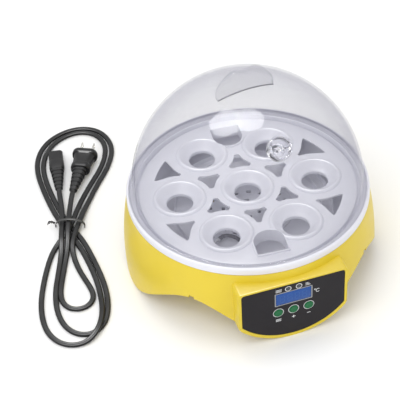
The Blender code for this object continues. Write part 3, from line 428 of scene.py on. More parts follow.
def clear_plastic(name, tint, see_through, edge, roughness=0.04):
    """Clear moulding. It turns denser where it is seen edge on."""
    look, nodes, links, shader = base_material(name)
    coords = nodes.new("ShaderNodeTexCoord")
    flow = noise(nodes, links, coords, 26.0, 3.0)
    rim = nodes.new("ShaderNodeLayerWeight")
    rim.inputs["Blend"].default_value = 0.35
    power = nodes.new("ShaderNodeMath")
    power.operation = "POWER"
    power.inputs[1].default_value = 2.2
    links.new(rim.outputs["Facing"], power.inputs[0])
    alpha = ramp(nodes, links, power.outputs["Value"], see_through, edge, 0.0, 1.0)
    links.new(alpha, shader.inputs["Alpha"])
    factor = ramp(nodes, links, flow.outputs["Fac"], 0.0, 1.0)
    darker = tuple(c * 0.97 for c in tint)
    links.new(mixed(nodes, links, factor, darker, tint), shader.inputs["Base Color"])
    rough = ramp(nodes, links, flow.outputs["Fac"], roughness * 0.7, roughness * 1.4)
    links.new(rough, shader.inputs["Roughness"])
    shader.inputs["IOR"].default_value = 1.59
    height = nodes.new("ShaderNodeBump")
    height.inputs["Strength"].default_value = 0.03
    height.inputs["Distance"].default_value = 0.0006
    links.new(flow.outputs["Fac"], height.inputs["Height"])
    links.new(height.outputs["Normal"], shader.inputs["Normal"])
    return look


def refracting_plastic(name, tint, roughness=0.02):
    """Thick clear moulding, which bends what is behind it."""
    look, nodes, links, shader = base_material(name)
    coords = nodes.new("ShaderNodeTexCoord")
    flow = noise(nodes, links, coords, 60.0, 3.0)
    factor = ramp(nodes, links, flow.outputs["Fac"], 0.0, 1.0)
    darker = tuple(c * 0.96 for c in tint)
    links.new(mixed(nodes, links, factor, darker, tint), shader.inputs["Base Color"])
    rough = ramp(nodes, links, flow.outputs["Fac"], roughness * 0.6, roughness * 1.6)
    links.new(rough, shader.inputs["Roughness"])
    shader.inputs["Transmission Weight"].default_value = 1.0
    shader.inputs["IOR"].default_value = 1.49
    return look


def circuit_board(name):
    """Green solder mask over faint copper tracks."""
    look, nodes, links, shader = base_material(name)
    coords = nodes.new("ShaderNodeTexCoord")
    tracks = nodes.new("ShaderNodeTexBrick")
    tracks.inputs["Scale"].default_value = 260.0
    tracks.inputs["Color1"].default_value = (0.02, 0.16, 0.06, 1.0)
    tracks.inputs["Color2"].default_value = (0.03, 0.22, 0.09, 1.0)
    tracks.inputs["Mortar"].default_value = (0.05, 0.30, 0.13, 1.0)
    tracks.inputs["Mortar Size"].default_value = 0.03
    links.new(coords.outputs["Object"], tracks.inputs["Vector"])
    links.new(tracks.outputs["Color"], shader.inputs["Base Color"])
    mottle = noise(nodes, links, coords, 120.0)
    links.new(ramp(nodes, links, mottle.outputs["Fac"], 0.28, 0.42), shader.inputs["Roughness"])
    return look


# Colour, roughness and what differs from an ordinary moulding
MOULDED_LOOKS = {
    "yellow_plastic": ((0.72, 0.55, 0.03), 0.36, {"shift": 0.05}),
    "white_plastic": ((0.76, 0.76, 0.82), 0.34, {"shift": 0.03}),
    "painted_fold_shade": ((0.16, 0.16, 0.19), 0.30, {}),
    # Painted shade: the dark strip laid along the clear grip's fold
    "black_fascia": ((0.016, 0.014, 0.017), 0.45, {"grain": 1400.0, "specular": 0.2}),
    "blue_window": ((0.016, 0.075, 0.30), 0.20, {"shift": 0.12, "specular": 0.3}),
    "blue_case": ((0.05, 0.16, 0.45), 0.45, {}),
    "green_button": ((0.006, 0.13, 0.042), 0.32, {"shift": 0.08, "specular": 0.3}),
    "lamp_lens": ((0.06, 0.07, 0.08), 0.16, {}),
    "dark_plastic": ((0.022, 0.022, 0.024), 0.45, {"grain": 700.0, "bump": 0.10}),
    "cord_vinyl": ((0.008, 0.008, 0.009), 0.36, {"shift": 0.12, "bump": 0.08, "specular": 0.3}),
    "tie_vinyl": ((0.02, 0.02, 0.02), 0.50, {"bump": 0.10}),
    "cable_jacket": ((0.008, 0.008, 0.009), 0.42, {"specular": 0.2}),
    "bright_steel": ((0.62, 0.62, 0.64), 0.26, {"metallic": 1.0, "bump": 0.03}),
    "plated_brass": ((0.66, 0.65, 0.62), 0.22, {"metallic": 1.0, "bump": 0.03}),
    "mica_sheet": ((0.03, 0.026, 0.021), 0.60, {"shift": 0.25, "specular": 0.2}),
    "element_sheath": ((0.26, 0.24, 0.23), 0.38, {"metallic": 1.0, "shift": 0.2}),
    "transformer_tape": ((0.70, 0.52, 0.10), 0.48, {"shift": 0.15}),
    "white_print": ((0.72, 0.73, 0.74), 0.50, {"bump": 0.02}),
    "grey_print": ((0.30, 0.31, 0.33), 0.50, {"bump": 0.02}),
    "segment": ((0.024, 0.10, 0.34), 0.22, {"specular": 0.3}),
}


def make_looks():
    made = {
        name: moulded(name, colour, roughness, **others)
        for name, (colour, roughness, others) in MOULDED_LOOKS.items()
    }
    made["clear_plastic"] = clear_plastic("clear_plastic", (0.40, 0.40, 0.49), 0.115, 0.62)
    # Painted shade: a darker copy of the dome's clear plastic, denser at its edges, used for the grip
    made["clear_plastic_shaded_grip"] = clear_plastic("clear_plastic_shaded_grip", (0.30, 0.30, 0.36), 0.07, 0.80)
    made["clear_thick"] = refracting_plastic("clear_thick", (0.93, 0.93, 0.96))
    made["circuit_board"] = circuit_board("circuit_board")
    return made


# -------------------------------------------------------------- base shell

def skirt_radius(z):
    return BELLY_R - (BELLY_R - RIM_R) * ((z - BELLY_Z) / (RIM_Z - BELLY_Z)) ** 2


def arch_height(degrees_from_console):
    offset = abs(degrees_from_console % 90.0 - 45.0)
    t = 1.0 - offset / 45.0
    height = ARCH_HEIGHT * (3 * t * t - 2 * t ** 3) ** 1.1
    if offset < NOTCH_HALF_ANGLE:
        height += NOTCH_HEIGHT
    return height


def console_outline(half, top, arc_radius, corner, steps=40):
    reach = math.degrees(math.acos(half / arc_radius))
    outline = list(arc(half - corner, top - corner, corner, 0, 90, 8))
    outline += arc(-half + corner, top - corner, corner, 90, 180, 8)
    outline += arc(0, CONSOLE_ARC_Z, arc_radius, -180 + reach, -reach, steps)
    return outline


def soften_edges_at(bm, y, size, steps):
    """Rounds the edges that lie in the plane at y."""
    edges = [e for e in bm.edges if all(abs(v.co.y - y * MM) < 1e-6 for v in e.verts)]
    bmesh.ops.bevel(
        bm, geom=edges, offset=size * MM, segments=steps, affect="EDGES", profile=0.5,
    )


def skirt_section(angle):
    """The skirt's closed section at an angle, from the rim down outside and up inside."""
    bottom = arch_height(angle)
    rows = 12
    section = []
    for i in range(rows + 1):
        z = RIM_Z - (RIM_Z - bottom - 0.7) * (i / rows)
        section.append((skirt_radius(z), z))
    foot = skirt_radius(bottom)
    section += [(foot - 0.3, bottom + 0.15), (foot - 0.9, bottom)]
    section += [(foot - WALL + 0.5, bottom), (foot - WALL, bottom + 0.5)]
    for i in range(rows + 1):
        z = bottom + 0.9 + (RIM_Z - bottom - 0.9) * (i / rows)
        section.append((skirt_radius(z) - WALL, z))
    return section


def build_housing():
    angles = [i * 1.25 for i in range(288)]
    for quarter in range(4):
        for side in (-1, 1):
            edge = 45.0 + 90.0 * quarter + side * NOTCH_HALF_ANGLE
            angles += [edge - 0.02, edge + 0.02]
    bm = bmesh.new()
    rings = []
    for angle in sorted(angles):
        ring = []
        for r, z in skirt_section(angle):
            x, y = on_circle(r, angle - 90.0)
            ring.append(bm.verts.new(point(x, y, z)))
        rings.append(ring)
    for ring, following in zip(rings, rings[1:] + rings[:1]):
        bridge(bm, ring, following)
    housing = piece(bm, "housing_shell", looks["yellow_plastic"], None)

    bm = bmesh.new()
    edge = skirt_radius(SHELF_Z) - WALL / 2
    shelf = (
        (edge, SHELF_UNDERSIDE, 0), (SHELF_OPENING_R, SHELF_UNDERSIDE, 0.4),
        (SHELF_OPENING_R, SHELF_Z, 0.4), (edge, SHELF_Z, 0),
    )
    add_turned(bm, rounded_profile(shelf), 192)
    combine(housing, bm, "UNION", "MANIFOLD")

    block = bmesh.new()
    radius = math.hypot(CONSOLE_HALF, CONSOLE_ARC_Z - CONSOLE_SIDE_END_Z)
    outline = console_outline(CONSOLE_HALF, CONSOLE_TOP, radius, 3.4)
    add_prism(block, outline, FRONT_Y, CONSOLE_BACK_Y, UPRIGHT)
    soften_edges_at(block, FRONT_Y, 1.3, 4)
    console = piece(block, "console_block", looks["yellow_plastic"], None)
    bm = bmesh.new()
    middle = [(skirt_radius(z) - WALL / 2, z) for z in (90.0, 80.0, 70.0, 62.0, 54.0, 46.0)]
    add_turned(bm, [(0, 90.0), *middle, (0, 46.0)], 192)
    combine(console, bm, "DIFFERENCE")
    bm = bmesh.new()
    bm.from_mesh(console.data)
    bpy.data.objects.remove(console)
    combine(housing, bm, "UNION", "MANIFOLD")

    inside_y = FRONT_Y + WALL
    bm = bmesh.new()
    add_box(bm, (-50.5, inside_y, 27.0), (50.5, -104.5, 68.2))
    add_box(bm, (-50.5, inside_y, -5.0), (50.5, -95.0, 24.4))
    combine(housing, bm, "DIFFERENCE", "MANIFOLD")

    bm = bmesh.new()
    recess = console_outline(PANEL_HALF + 0.3, PANEL_TOP + 0.3, PANEL_ARC_R + 0.3, 3.0)
    add_prism(bm, recess, FRONT_Y - 1.0, FRONT_Y + 1.2, UPRIGHT)
    combine(housing, bm, "DIFFERENCE", "MANIFOLD")

    bm = bmesh.new()
    add_prism(bm, rounded_box(18.2, 8.2, 0.6, 0, DISPLAY_Z), -127.0, -121.0, UPRIGHT)
    for x in BUTTON_X:
        add_drill(bm, 5.0, 4, 32, facing_front(x, -123, BUTTON_Z))
    for x in LED_X:
        add_drill(bm, 2.6, 4, 24, facing_front(x, -123, LED_Z))
    add_prism(bm, rounded_box(9.2, 5.8, 2.0, 0, INLET_Z), 100.0, 130.0, UPRIGHT)
    for angle in (45.0, 135.0, 225.0, 315.0):
        x, y = on_circle(COVER_SCREW_R, angle)
        add_post(bm, x, y, 40.0, 50.6, SCREW_HOLE_R)
    for angle in (30.0, 150.0, 270.0):
        x, y = on_circle(BOWL_BOSS_R, angle)
        add_post(bm, x, y, 40.0, 49.0, SCREW_HOLE_R)
    combine(housing, bm, "DIFFERENCE", "MANIFOLD")

    bm = bmesh.new()
    outer = rounded_box(13.0, 9.0, 2.5, 0, INLET_Z)
    inner = rounded_box(9.2, 5.8, 2.0, 0, INLET_Z)
    add_frame(bm, outer, inner, 115.5, 122.4, UPRIGHT)
    combine(housing, bm, "UNION", "MANIFOLD")
    attach(housing, "base", "yellow_plastic", "lower_housing")


# --------------------------------------------------------- bowl and tray

def build_bowl():
    corners = [
        (117.5, 79.3, 0.4), (117.5, 85.0, 0.8), (116.6, 87.0, 1.0), (115.0, 87.0, 0.5),
        (115.0, LEDGE_Z, 0.5), (109.4, LEDGE_Z, 0.6), (108.2, 76.7, 0.8), (102.8, 76.7, 0.6),
        (99.6, 57.2, 2.0), (97.2, FLOOR_Z, 2.0), (84.0, FLOOR_Z, 0.6), (83.6, 59.0, 0.4),
        (82.4, 59.0, 0.4), (82.0, FLOOR_Z, 0.6), (73.0, FLOOR_Z, 0.6), (72.6, 59.0, 0.4),
        (71.4, 59.0, 0.4), (71.0, FLOOR_Z, 0.6), (45.0, FLOOR_Z, 0.3), (45.0, 51.8, 0.3),
        (41.5, 51.8, 0.3), (41.5, 50.0, 0.4), (47.5, 50.0, 0.6), (47.5, 52.0, 0.4),
        (98.4, 52.0, 1.5), (101.9, 56.4, 1.5), (105.0, 74.6, 0.6), (110.4, 74.6, 0.6),
        (110.8, 79.3, 0.4),
    ]
    bm = bmesh.new()
    add_turned(bm, rounded_profile(corners, 3), 192)
    bowl = piece(bm, "bowl_shell", looks["white_plastic"], None, sharp=40.0)
    bm = bmesh.new()
    add_post(bm, *on_circle(*SENSOR_HOLE), 48.0, 56.0, SENSOR_HOLE_R)
    combine(bowl, bm, "DIFFERENCE", "MANIFOLD")
    attach(bowl, "base", "white_plastic", "water_bowl")


def build_vent_plate():
    bm = bmesh.new()
    rim = [(0, 52.1), (44.7, 52.1), (44.7, 53.8), (44.4, 54.1), (0, 54.1)]
    add_turned(bm, rim, 96)
    plate = piece(bm, "vent_plate_slotted", looks["white_plastic"], None)
    bm = bmesh.new()
    add_prism(bm, rounded_box(2.4, 1.7, 0.6, steps=3), 50.0, 56.0)
    for ring_r, count, first in VENT_RINGS:
        for i in range(count):
            angle = first + 360.0 * i / count
            x, y = on_circle(ring_r, angle)
            slot = rounded_box(1.7, 2.4, 0.6, steps=3)
            add_prism(bm, slot, 50.0, 56.0, moved(x, y, turn=angle))
    combine(plate, bm, "DIFFERENCE", "MANIFOLD")
    attach(plate, "base", "white_plastic", "vent_plate")


def cup_centres():
    yield (0.0, 0.0)
    for i in range(6):
        yield on_circle(CUP_PITCH, 60.0 * i)


def inner_window(direction):
    cx, cy = on_circle(CUP_PITCH / math.sqrt(3.0), direction)
    corners = []
    for side in (180.0, 300.0, 60.0):
        bearing = direction + side
        x = cx + 38.7 * math.cos(math.radians(bearing))
        y = cy + 38.7 * math.sin(math.radians(bearing))
        corners += arc(x, y, 32.0, bearing + 180 + 16.5, bearing + 180 - 16.5, 8)
    return corners


def outer_window(direction):
    ax, ay = on_circle(CUP_PITCH, direction - 30)
    bx, by = on_circle(CUP_PITCH, direction + 30)
    outline = list(arc(0, 0, 91.8, direction - 10.4, direction + 10.4, 10))
    outline += arc(bx, by, 33.8, direction + 313.5, direction + 288, 10)
    outline += arc(ax, ay, 33.8, direction + 72, direction + 46.5, 10)
    return outline


def softened(outline, rounds=1):
    """Cuts each corner of a closed outline, so that no corner is sharp."""
    for _ in range(rounds):
        cut = []
        for (x0, y0), (x1, y1) in zip(outline, outline[1:] + outline[:1]):
            cut.append((x0 * 0.75 + x1 * 0.25, y0 * 0.75 + y1 * 0.25))
            cut.append((x0 * 0.25 + x1 * 0.75, y0 * 0.25 + y1 * 0.75))
        outline = cut
    return outline


def finger_outline(half, centre_r, outer_r, corner):
    outline = list(arc(outer_r - corner, half - corner, corner, 0, 90, 5))
    outline += arc(centre_r, 0, half, 90, 270, 32)
    outline += arc(outer_r - corner, -half + corner, corner, 270, 360, 5)
    return outline


def build_tray():
    place = moved(turn=TRAY_YAW)
    bm = bmesh.new()
    edge = [
        (0, 79.7), (103.0, 79.7), (103.5, 79.2), (103.5, 77.3), (103.8, 77.0), (105.0, 77.0),
        (TRAY_R, 77.3), (TRAY_R, 80.7), (105.0, 81.3), (104.4, TRAY_TOP), (0, TRAY_TOP),
    ]
    add_turned(bm, edge, 192, place)
    tray = piece(bm, "tray_plate", looks["white_plastic"], None)

    bm = bmesh.new()
    for x, y in cup_centres():
        add_post(bm, x, y, 70.0, 90.0, 24.2, 96)
    bmesh.ops.transform(bm, matrix=place, verts=bm.verts)
    combine(tray, bm, "DIFFERENCE", "MANIFOLD")

    cup = [
        (25.9, 80.2), (25.9, 81.9), (25.4, 82.7), (24.6, 83.4), (23.6, 83.8), (22.6, 83.7),
        (21.6, 83.1), (20.4, 82.0), (18.6, 80.2), (17.2, 78.9), (15.8, 77.8), (14.4, 76.9),
        (13.3, 76.2), (13.0, 75.8), (13.0, 73.0), (14.0, 73.2), (16.6, 74.6), (18.6, 76.4),
        (22.3, 80.2),
    ]
    bm = bmesh.new()
    for x, y in cup_centres():
        add_turned(bm, cup, 96, moved(x, y))
    bmesh.ops.transform(bm, matrix=place, verts=bm.verts)
    combine(tray, bm, "UNION", "MANIFOLD")

    bm = bmesh.new()
    for turn in FINGER_TURNS:
        add_prism(bm, finger_outline(16.2, 79.0, 95.4, 2.6), 69.4, 82.9, moved(turn=turn))
    bmesh.ops.transform(bm, matrix=place, verts=bm.verts)
    combine(tray, bm, "UNION", "MANIFOLD")

    bm = bmesh.new()
    for turn in SMALL_WINDOW_TURNS:
        add_prism(bm, softened(inner_window(turn)), 74.0, 86.0)
    for turn in LARGE_WINDOW_TURNS:
        add_prism(bm, softened(outer_window(turn), 3), 74.0, 86.0)
    for turn in FINGER_TURNS:
        add_prism(bm, finger_outline(14.8, 79.0, 93.8, 1.2), 60.0, 90.0, moved(turn=turn))
    bmesh.ops.transform(bm, matrix=place, verts=bm.verts)
    combine(tray, bm, "DIFFERENCE", "MANIFOLD")
    attach(tray, "tray", "white_plastic", "egg_tray")


# ------------------------------------------------------------------- dome

def build_dome():
    inner = DOME_R - DOME_T
    place = moved(turn=DOME_YAW)
    outside = list(arc(0, DOME_CENTRE_Z, DOME_R, 0, 88.5, 60))
    inside = list(arc(0, DOME_CENTRE_Z, inner, 88.5, 0, 60))
    foot = [
        (inner, 83.6), (inner + 0.3, 83.3), (113.9, 83.3), (114.2, 83.6), (114.2, 86.3),
        (113.8, 86.9), (112.6, 87.1), (111.8, 87.5),
    ]
    profile = [(0, DOME_CENTRE_Z + inner), *inside, *foot, *outside, (0, DOME_CENTRE_Z + DOME_R)]
    bm = bmesh.new()
    add_turned(bm, profile, 192, place)
    dome = piece(bm, "dome_shell", looks["clear_plastic"], None)
    bm = bmesh.new()
    add_drill(bm, KNOB_HOLE_R, 8, 48, KNOB_PLACE)
    combine(dome, bm, "DIFFERENCE", "MANIFOLD")
    attach(dome, "dome", "clear_plastic")

    base = [
        (x, DOME_CENTRE_Z + math.sqrt(DOME_R ** 2 - x * x) - 0.15)
        for x in range(-GRIP_REACH, GRIP_REACH + 1, 2)
    ]
    crown = [
        (28.3, GRIP_CROWN_Z), (26.8, 209.8), (24.6, 213.6), (21.6, 217.2), (17.6, 220.4), (13.4, 223.0),
        (10.8, 224.2), (9.0, 224.3), (6.6, 223.3), (3.4, 221.7), (0, 221.1),
    ]
    outline = base + crown + [(-x, z) for x, z in reversed(crown[:-1])]
    bm = bmesh.new()
    add_prism(bm, outline, -GRIP_HALF_T, GRIP_HALF_T, moved(turn=DOME_YAW) @ UPRIGHT)
    rims = [e for e in bm.edges if all(v.co.z > GRIP_CROWN_Z * MM for v in e.verts)]
    flat = [e for e in rims if len({f for f in e.link_faces if len(f.verts) > 4}) == 1]
    bmesh.ops.bevel(bm, geom=flat, offset=0.7 * MM, segments=3, affect="EDGES", profile=0.5)
    grip = piece(bm, "dome_grip", looks["clear_plastic_shaded_grip"], "dome", "clear_plastic", sharp=50.0)
    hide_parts("dome")

    # The fold where the hollow grip rises from the dome shows as a dark line. It is drawn here as an
    # opaque dark strip, which is painted shade on clear plastic.
    bm = bmesh.new()
    path = []
    fold_y = -GRIP_HALF_T - 0.2
    for x in range(-GRIP_REACH, GRIP_REACH + 1):
        height = math.sqrt(DOME_R ** 2 - x * x - fold_y ** 2)
        path.append(Vector((x, fold_y, DOME_CENTRE_Z + height + 0.1)))
    add_strip(bm, path, 0.65, 0.4, Vector((0, 1, 0)), moved(turn=DOME_YAW))
    piece(bm, "dome_grip_fold_painted_shade", looks["painted_fold_shade"], "dome", "clear_plastic")


def build_knob():
    corners = [
        (2.6, -7.2, 0), (6.1, -7.2, 0.2), (7.2, -6.2, 0.3), (7.2, -4.6, 0.3), (6.1, -3.8, 0.2),
        (6.1, 0.4, 0), (11.0, 0.4, 0.5), (11.0, 10.8, 0.8), (9.9, 11.2, 0.4), (9.2, 10.4, 0.4),
        (9.2, 2.6, 0.6), (2.6, 2.6, 0.2),
    ]
    bm = bmesh.new()
    add_turned(bm, rounded_profile(corners, 3), 64, KNOB_PLACE)
    knob = piece(bm, "knob_cup", looks["clear_thick"], None)
    bm = bmesh.new()
    for side in (-1, 1):
        add_prism(bm, rounded_box(3.4, 1.2, 0.6, side * 6.6, 0, 4), 2.2, 9.8, KNOB_PLACE)
    combine(knob, bm, "UNION", "MANIFOLD")
    attach(knob, "vent_knob", "clear_plastic", "vent_knob")


# ---------------------------------------------------------------- console

def build_fascia():
    bm = bmesh.new()
    outline = console_outline(PANEL_HALF, PANEL_TOP, PANEL_ARC_R, 2.8)
    add_prism(bm, outline, PANEL_Y, PANEL_Y + PANEL_T, UPRIGHT)
    soften_edges_at(bm, PANEL_Y, 0.15, 2)
    panel = piece(bm, "fascia_sheet", looks["black_fascia"], None)
    bm = bmesh.new()
    add_prism(bm, rounded_box(17.3, 7.3, 0.5, 0, DISPLAY_Z), -128.0, -120.0, UPRIGHT)
    for x in BUTTON_X:
        add_drill(bm, 4.6, 4, 48, facing_front(x, -124, BUTTON_Z))
    for x in LED_X:
        add_drill(bm, 2.3, 4, 32, facing_front(x, -124, LED_Z))
    combine(panel, bm, "DIFFERENCE", "MANIFOLD")
    attach(panel, "base", "black_fascia", "fascia_panel")

    bm = bmesh.new()
    lens = rounded_box(17.0, 7.0, 0.5, 0, DISPLAY_Z)
    add_prism(bm, lens, PANEL_Y, PANEL_Y + PANEL_T, UPRIGHT)
    soften_edges_at(bm, PANEL_Y, 0.12, 2)
    piece(bm, "display_lens", looks["blue_window"], "base", "blue_window", ("display_window",))


def add_ring_print(bm, x, z, outer, inner, steps=48):
    ring_out = list(arc(x, z, outer, 0, 360 - 360 / steps, steps - 1))
    ring_in = list(arc(x, z, inner, 0, 360 - 360 / steps, steps - 1))
    add_frame(bm, ring_out, ring_in, PRINT_Y - PRINT_T / 2, PRINT_Y + PRINT_T / 2, UPRIGHT)


def add_stroke(bm, points, width):
    """A printed line of even width through the points, in X and Z."""
    left = []
    right = []
    for i, (x, z) in enumerate(points):
        x0, z0 = points[max(i - 1, 0)]
        x1, z1 = points[min(i + 1, len(points) - 1)]
        run = math.hypot(x1 - x0, z1 - z0)
        nx = -(z1 - z0) / run * width / 2
        nz = (x1 - x0) / run * width / 2
        left.append((x + nx, z + nz))
        right.append((x - nx, z - nz))
    outline = left + right[::-1]
    count = len(outline)
    area = sum(
        outline[i][0] * outline[(i + 1) % count][1] - outline[(i + 1) % count][0] * outline[i][1]
        for i in range(count)
    )
    if area < 0:
        outline.reverse()
    add_prism(bm, outline, PRINT_Y - PRINT_T / 2, PRINT_Y + PRINT_T / 2, UPRIGHT)


def build_prints():
    """Printed frame, rings and plain marks on the fascia, with no words."""
    bm = bmesh.new()
    add_frame(
        bm, rounded_box(18.4, 8.2, 0.8, 0, DISPLAY_Z), rounded_box(17.4, 7.35, 0.5, 0, DISPLAY_Z),
        PRINT_Y - PRINT_T / 2, PRINT_Y + PRINT_T / 2, UPRIGHT,
    )
    piece(bm, "print_display_frame", looks["grey_print"], "base", "black_fascia")
    bm = bmesh.new()
    for x in BUTTON_X:
        add_ring_print(bm, x, BUTTON_Z, 5.3, 4.75)
    for x in LED_X:
        add_ring_print(bm, x, LED_Z, 3.1, 2.45)
    piece(bm, "print_rings", looks["white_print"], "base", "black_fascia")

    bm = bmesh.new()
    add_stroke(bm, [(-1.7, MARK_Z), (1.7, MARK_Z)], 0.75)
    add_stroke(bm, [(0, MARK_Z - 1.7), (0, MARK_Z - 0.4)], 0.75)
    add_stroke(bm, [(0, MARK_Z + 0.4), (0, MARK_Z + 1.7)], 0.75)
    add_stroke(bm, [(13.4, MARK_Z), (16.6, MARK_Z)], 0.75)
    for row in (-1.2, 0.0, 1.2):
        add_stroke(bm, [(-17.6, MARK_Z + row), (-12.4, MARK_Z + row)], 0.6)
    for step in range(3):
        z = LED_Z - 1.3 + 1.3 * step
        add_stroke(bm, [(-17.4, z), (-11.6, z)], 0.55)
        add_stroke(bm, [(11.6, z), (16.6 - step, z)], 0.55)
    add_stroke(bm, list(arc(23.9, DISPLAY_Z - 0.4, 1.9, 50, 310, 20)), 0.6)
    add_ring_print(bm, 20.9, DISPLAY_Z + 1.5, 0.85, 0.4, 24)
    piece(bm, "print_marks", looks["white_print"], "base", "black_fascia")


def build_display_digits():
    """Faint unlit segments, which stand just proud of the display's lens."""
    bm = bmesh.new()
    for column in range(4):
        x0 = -11.7 + column * 7.2
        for x, z, half_x, half_z in (
            (0.0, 4.2, 1.6, 0.35), (0.0, 0.0, 1.6, 0.35), (0.0, -4.2, 1.6, 0.35),
            (-2.05, 2.1, 0.35, 1.6), (2.05, 2.1, 0.35, 1.6),
            (-2.05, -2.1, 0.35, 1.6), (2.05, -2.1, 0.35, 1.6),
        ):
            outline = rounded_box(half_x, half_z, 0.3, x0 + x + 0.9, DISPLAY_Z + z, 2)
            add_prism(bm, outline, PRINT_Y - 0.02, PRINT_Y + 0.03, UPRIGHT)
    piece(bm, "display_segments", looks["segment"], "base", "blue_window")


def build_buttons():
    for name, x in zip(("set_button", "plus_button", "minus_button"), BUTTON_X):
        corners = [
            (0, -5.5, 0), (2.0, -5.5, 0), (2.0, -4.2, 0), (6.0, -4.2, 0.2), (6.0, -3.1, 0.2),
            (BUTTON_R, -3.1, 0), (BUTTON_R, 0.9, 0.7), (2.8, 1.0, 0.9), (0, 0.72, 0),
        ]
        bm = bmesh.new()
        cap = rounded_profile(corners)
        add_turned(bm, cap, 48, facing_front(x, FRONT_Y, BUTTON_Z), False)
        piece(bm, name + "_cap", looks["green_button"], name, "green_button", (name,))
    for name, x in zip(("work_lamp", "set_lamp"), LED_X):
        lens = [
            (0, -9.7), (2.3, -9.7), (2.3, -3.4), (1.95, -3.2), (1.95, -0.9), (1.85, -0.3),
            (1.5, 0.2), (1.0, 0.5), (0.5, 0.66), (0, 0.7),
        ]
        bm = bmesh.new()
        add_turned(bm, lens, 32, facing_front(x, FRONT_Y, LED_Z))
        piece(bm, name + "_lens", looks["lamp_lens"], "base", "lamp_lens", (name,))


# --------------------------------------------------------------- mains lead

def lead_place(x, y, z, direction):
    flat = Matrix.Rotation(math.radians(90.0), 4, "Y")
    return moved(x, y, z, turn=direction) @ flat


def ribbed(half_width, half_height, narrow, length, ribs):
    rows = []
    for i in range(ribs):
        for inset, spot in (
            (0.35, 0.02), (0.0, 0.10), (0.0, 0.54), (0.35, 0.60), (1.1, 0.64), (1.1, 0.96),
        ):
            t = (i + spot) / ribs
            grow = 1.0 - t * (1.0 - narrow)
            rows.append((half_width * grow - inset, half_height * grow - inset * 0.8, length * t))
    return rows


def build_connector():
    nose = lead_place(*CONNECTOR_NOSE, CONNECTOR_Z, CONNECTOR_DIRECTION)
    bm = bmesh.new()
    rows = [
        (6.6, 3.4, -29.0), (7.6, 4.1, -28.2), (8.0, 4.3, -26.0), (8.0, 4.3, -15.4),
        (7.8, 4.15, -14.8), (7.7, 4.1, -14.0), (7.7, 4.1, -0.6), (7.2, 3.7, 0),
    ]
    add_loft(bm, rows, 8, nose)
    body = piece(bm, "connector_shell", looks["cord_vinyl"], None)
    bm = bmesh.new()
    for side in (-PIN_PITCH / 2, PIN_PITCH / 2):
        hole = nose @ Matrix.Translation(point(0, side, 0))
        add_turned(bm, ((0, -9), (1.4, -9), (1.4, 2), (0, 2)), 24, hole)
    combine(body, bm, "DIFFERENCE", "MANIFOLD")
    attach(body, "base", "cord_vinyl", "lead_connector")
    back = nose @ Matrix.Translation(point(0, 0, -29.2)) @ Matrix.Rotation(math.pi, 4, "Y")
    bm = bmesh.new()
    add_loft(bm, ribbed(7.4, 4.1, 0.5, 33.0, 6), 8, back)
    relief = piece(
        bm, "connector_boot", looks["cord_vinyl"], "base", "cord_vinyl", ("connector_relief",)
    )
    return [body, relief]


def build_plug():
    face = lead_place(*PLUG_FACE, PLUG_Z, PLUG_DIRECTION)
    bm = bmesh.new()
    rows = [
        (9.0, 6.6, -28.0), (10.0, 7.2, -27.4), (10.4, 7.5, -26.2), (10.4, 7.5, -21.8),
        (10.0, 7.2, -20.8), (9.6, 7.0, -20.0), (10.4, 7.3, -14.0), (11.0, 7.5, -8.0),
        (11.4, 7.7, -6.6), (12.9, 8.3, -5.8), (13.5, 8.5, -5.0), (13.6, 8.5, -3.8),
        (13.6, 8.5, -1.2), (13.2, 8.2, -0.4), (12.4, 7.6, 0),
    ]
    add_loft(bm, rows, 8, face)
    body = piece(bm, "plug_shell", looks["cord_vinyl"], None)
    bm = bmesh.new()
    for side in (-BLADE_PITCH / 2, BLADE_PITCH / 2):
        slot = face @ Matrix.Translation(point(0, side, 0))
        add_prism(bm, rounded_box(3.5, 1.05, 0.3, steps=2), -9.0, 2.0, slot)
    combine(body, bm, "DIFFERENCE", "MANIFOLD")
    attach(body, "base", "cord_vinyl", "plug_body")
    back = face @ Matrix.Translation(point(0, 0, -28.2)) @ Matrix.Rotation(math.pi, 4, "Y")
    bm = bmesh.new()
    add_loft(bm, ribbed(7.8, 5.9, 0.48, 35.0, 6), 8, back)
    relief = piece(bm, "plug_boot", looks["cord_vinyl"], "base", "cord_vinyl", ("plug_relief",))
    blades = []
    for name, side in (
        ("plug_blade_left", BLADE_PITCH / 2), ("plug_blade_right", -BLADE_PITCH / 2),
    ):
        place = face @ Matrix.Translation(point(0, side, 0))
        bm = bmesh.new()
        rows = [(0.75, 3.17, -8.6), (0.75, 3.17, 13.6), (0.6, 2.9, 14.8), (0.3, 2.4, 15.4)]
        rings = []
        for half_y, half_x, distance in rows:
            outline = rounded_box(half_x, half_y, 0.25, steps=3)
            rings.append([bm.verts.new(place @ point(x, y, distance)) for x, y in outline])
        close_tube(bm, rings)
        blade = piece(bm, name + "_plated", looks["plated_brass"], None)
        bm = bmesh.new()
        across = place @ Matrix.Translation(point(0, 0, 11.4)) @ Matrix.Rotation(math.pi / 2, 4, "X")
        add_drill(bm, 1.6, 3, 24, across)
        combine(blade, bm, "DIFFERENCE", "MANIFOLD")
        attach(blade, "base", "plated_brass", name)
        blades.append(blade)
    return [body, relief, *blades]


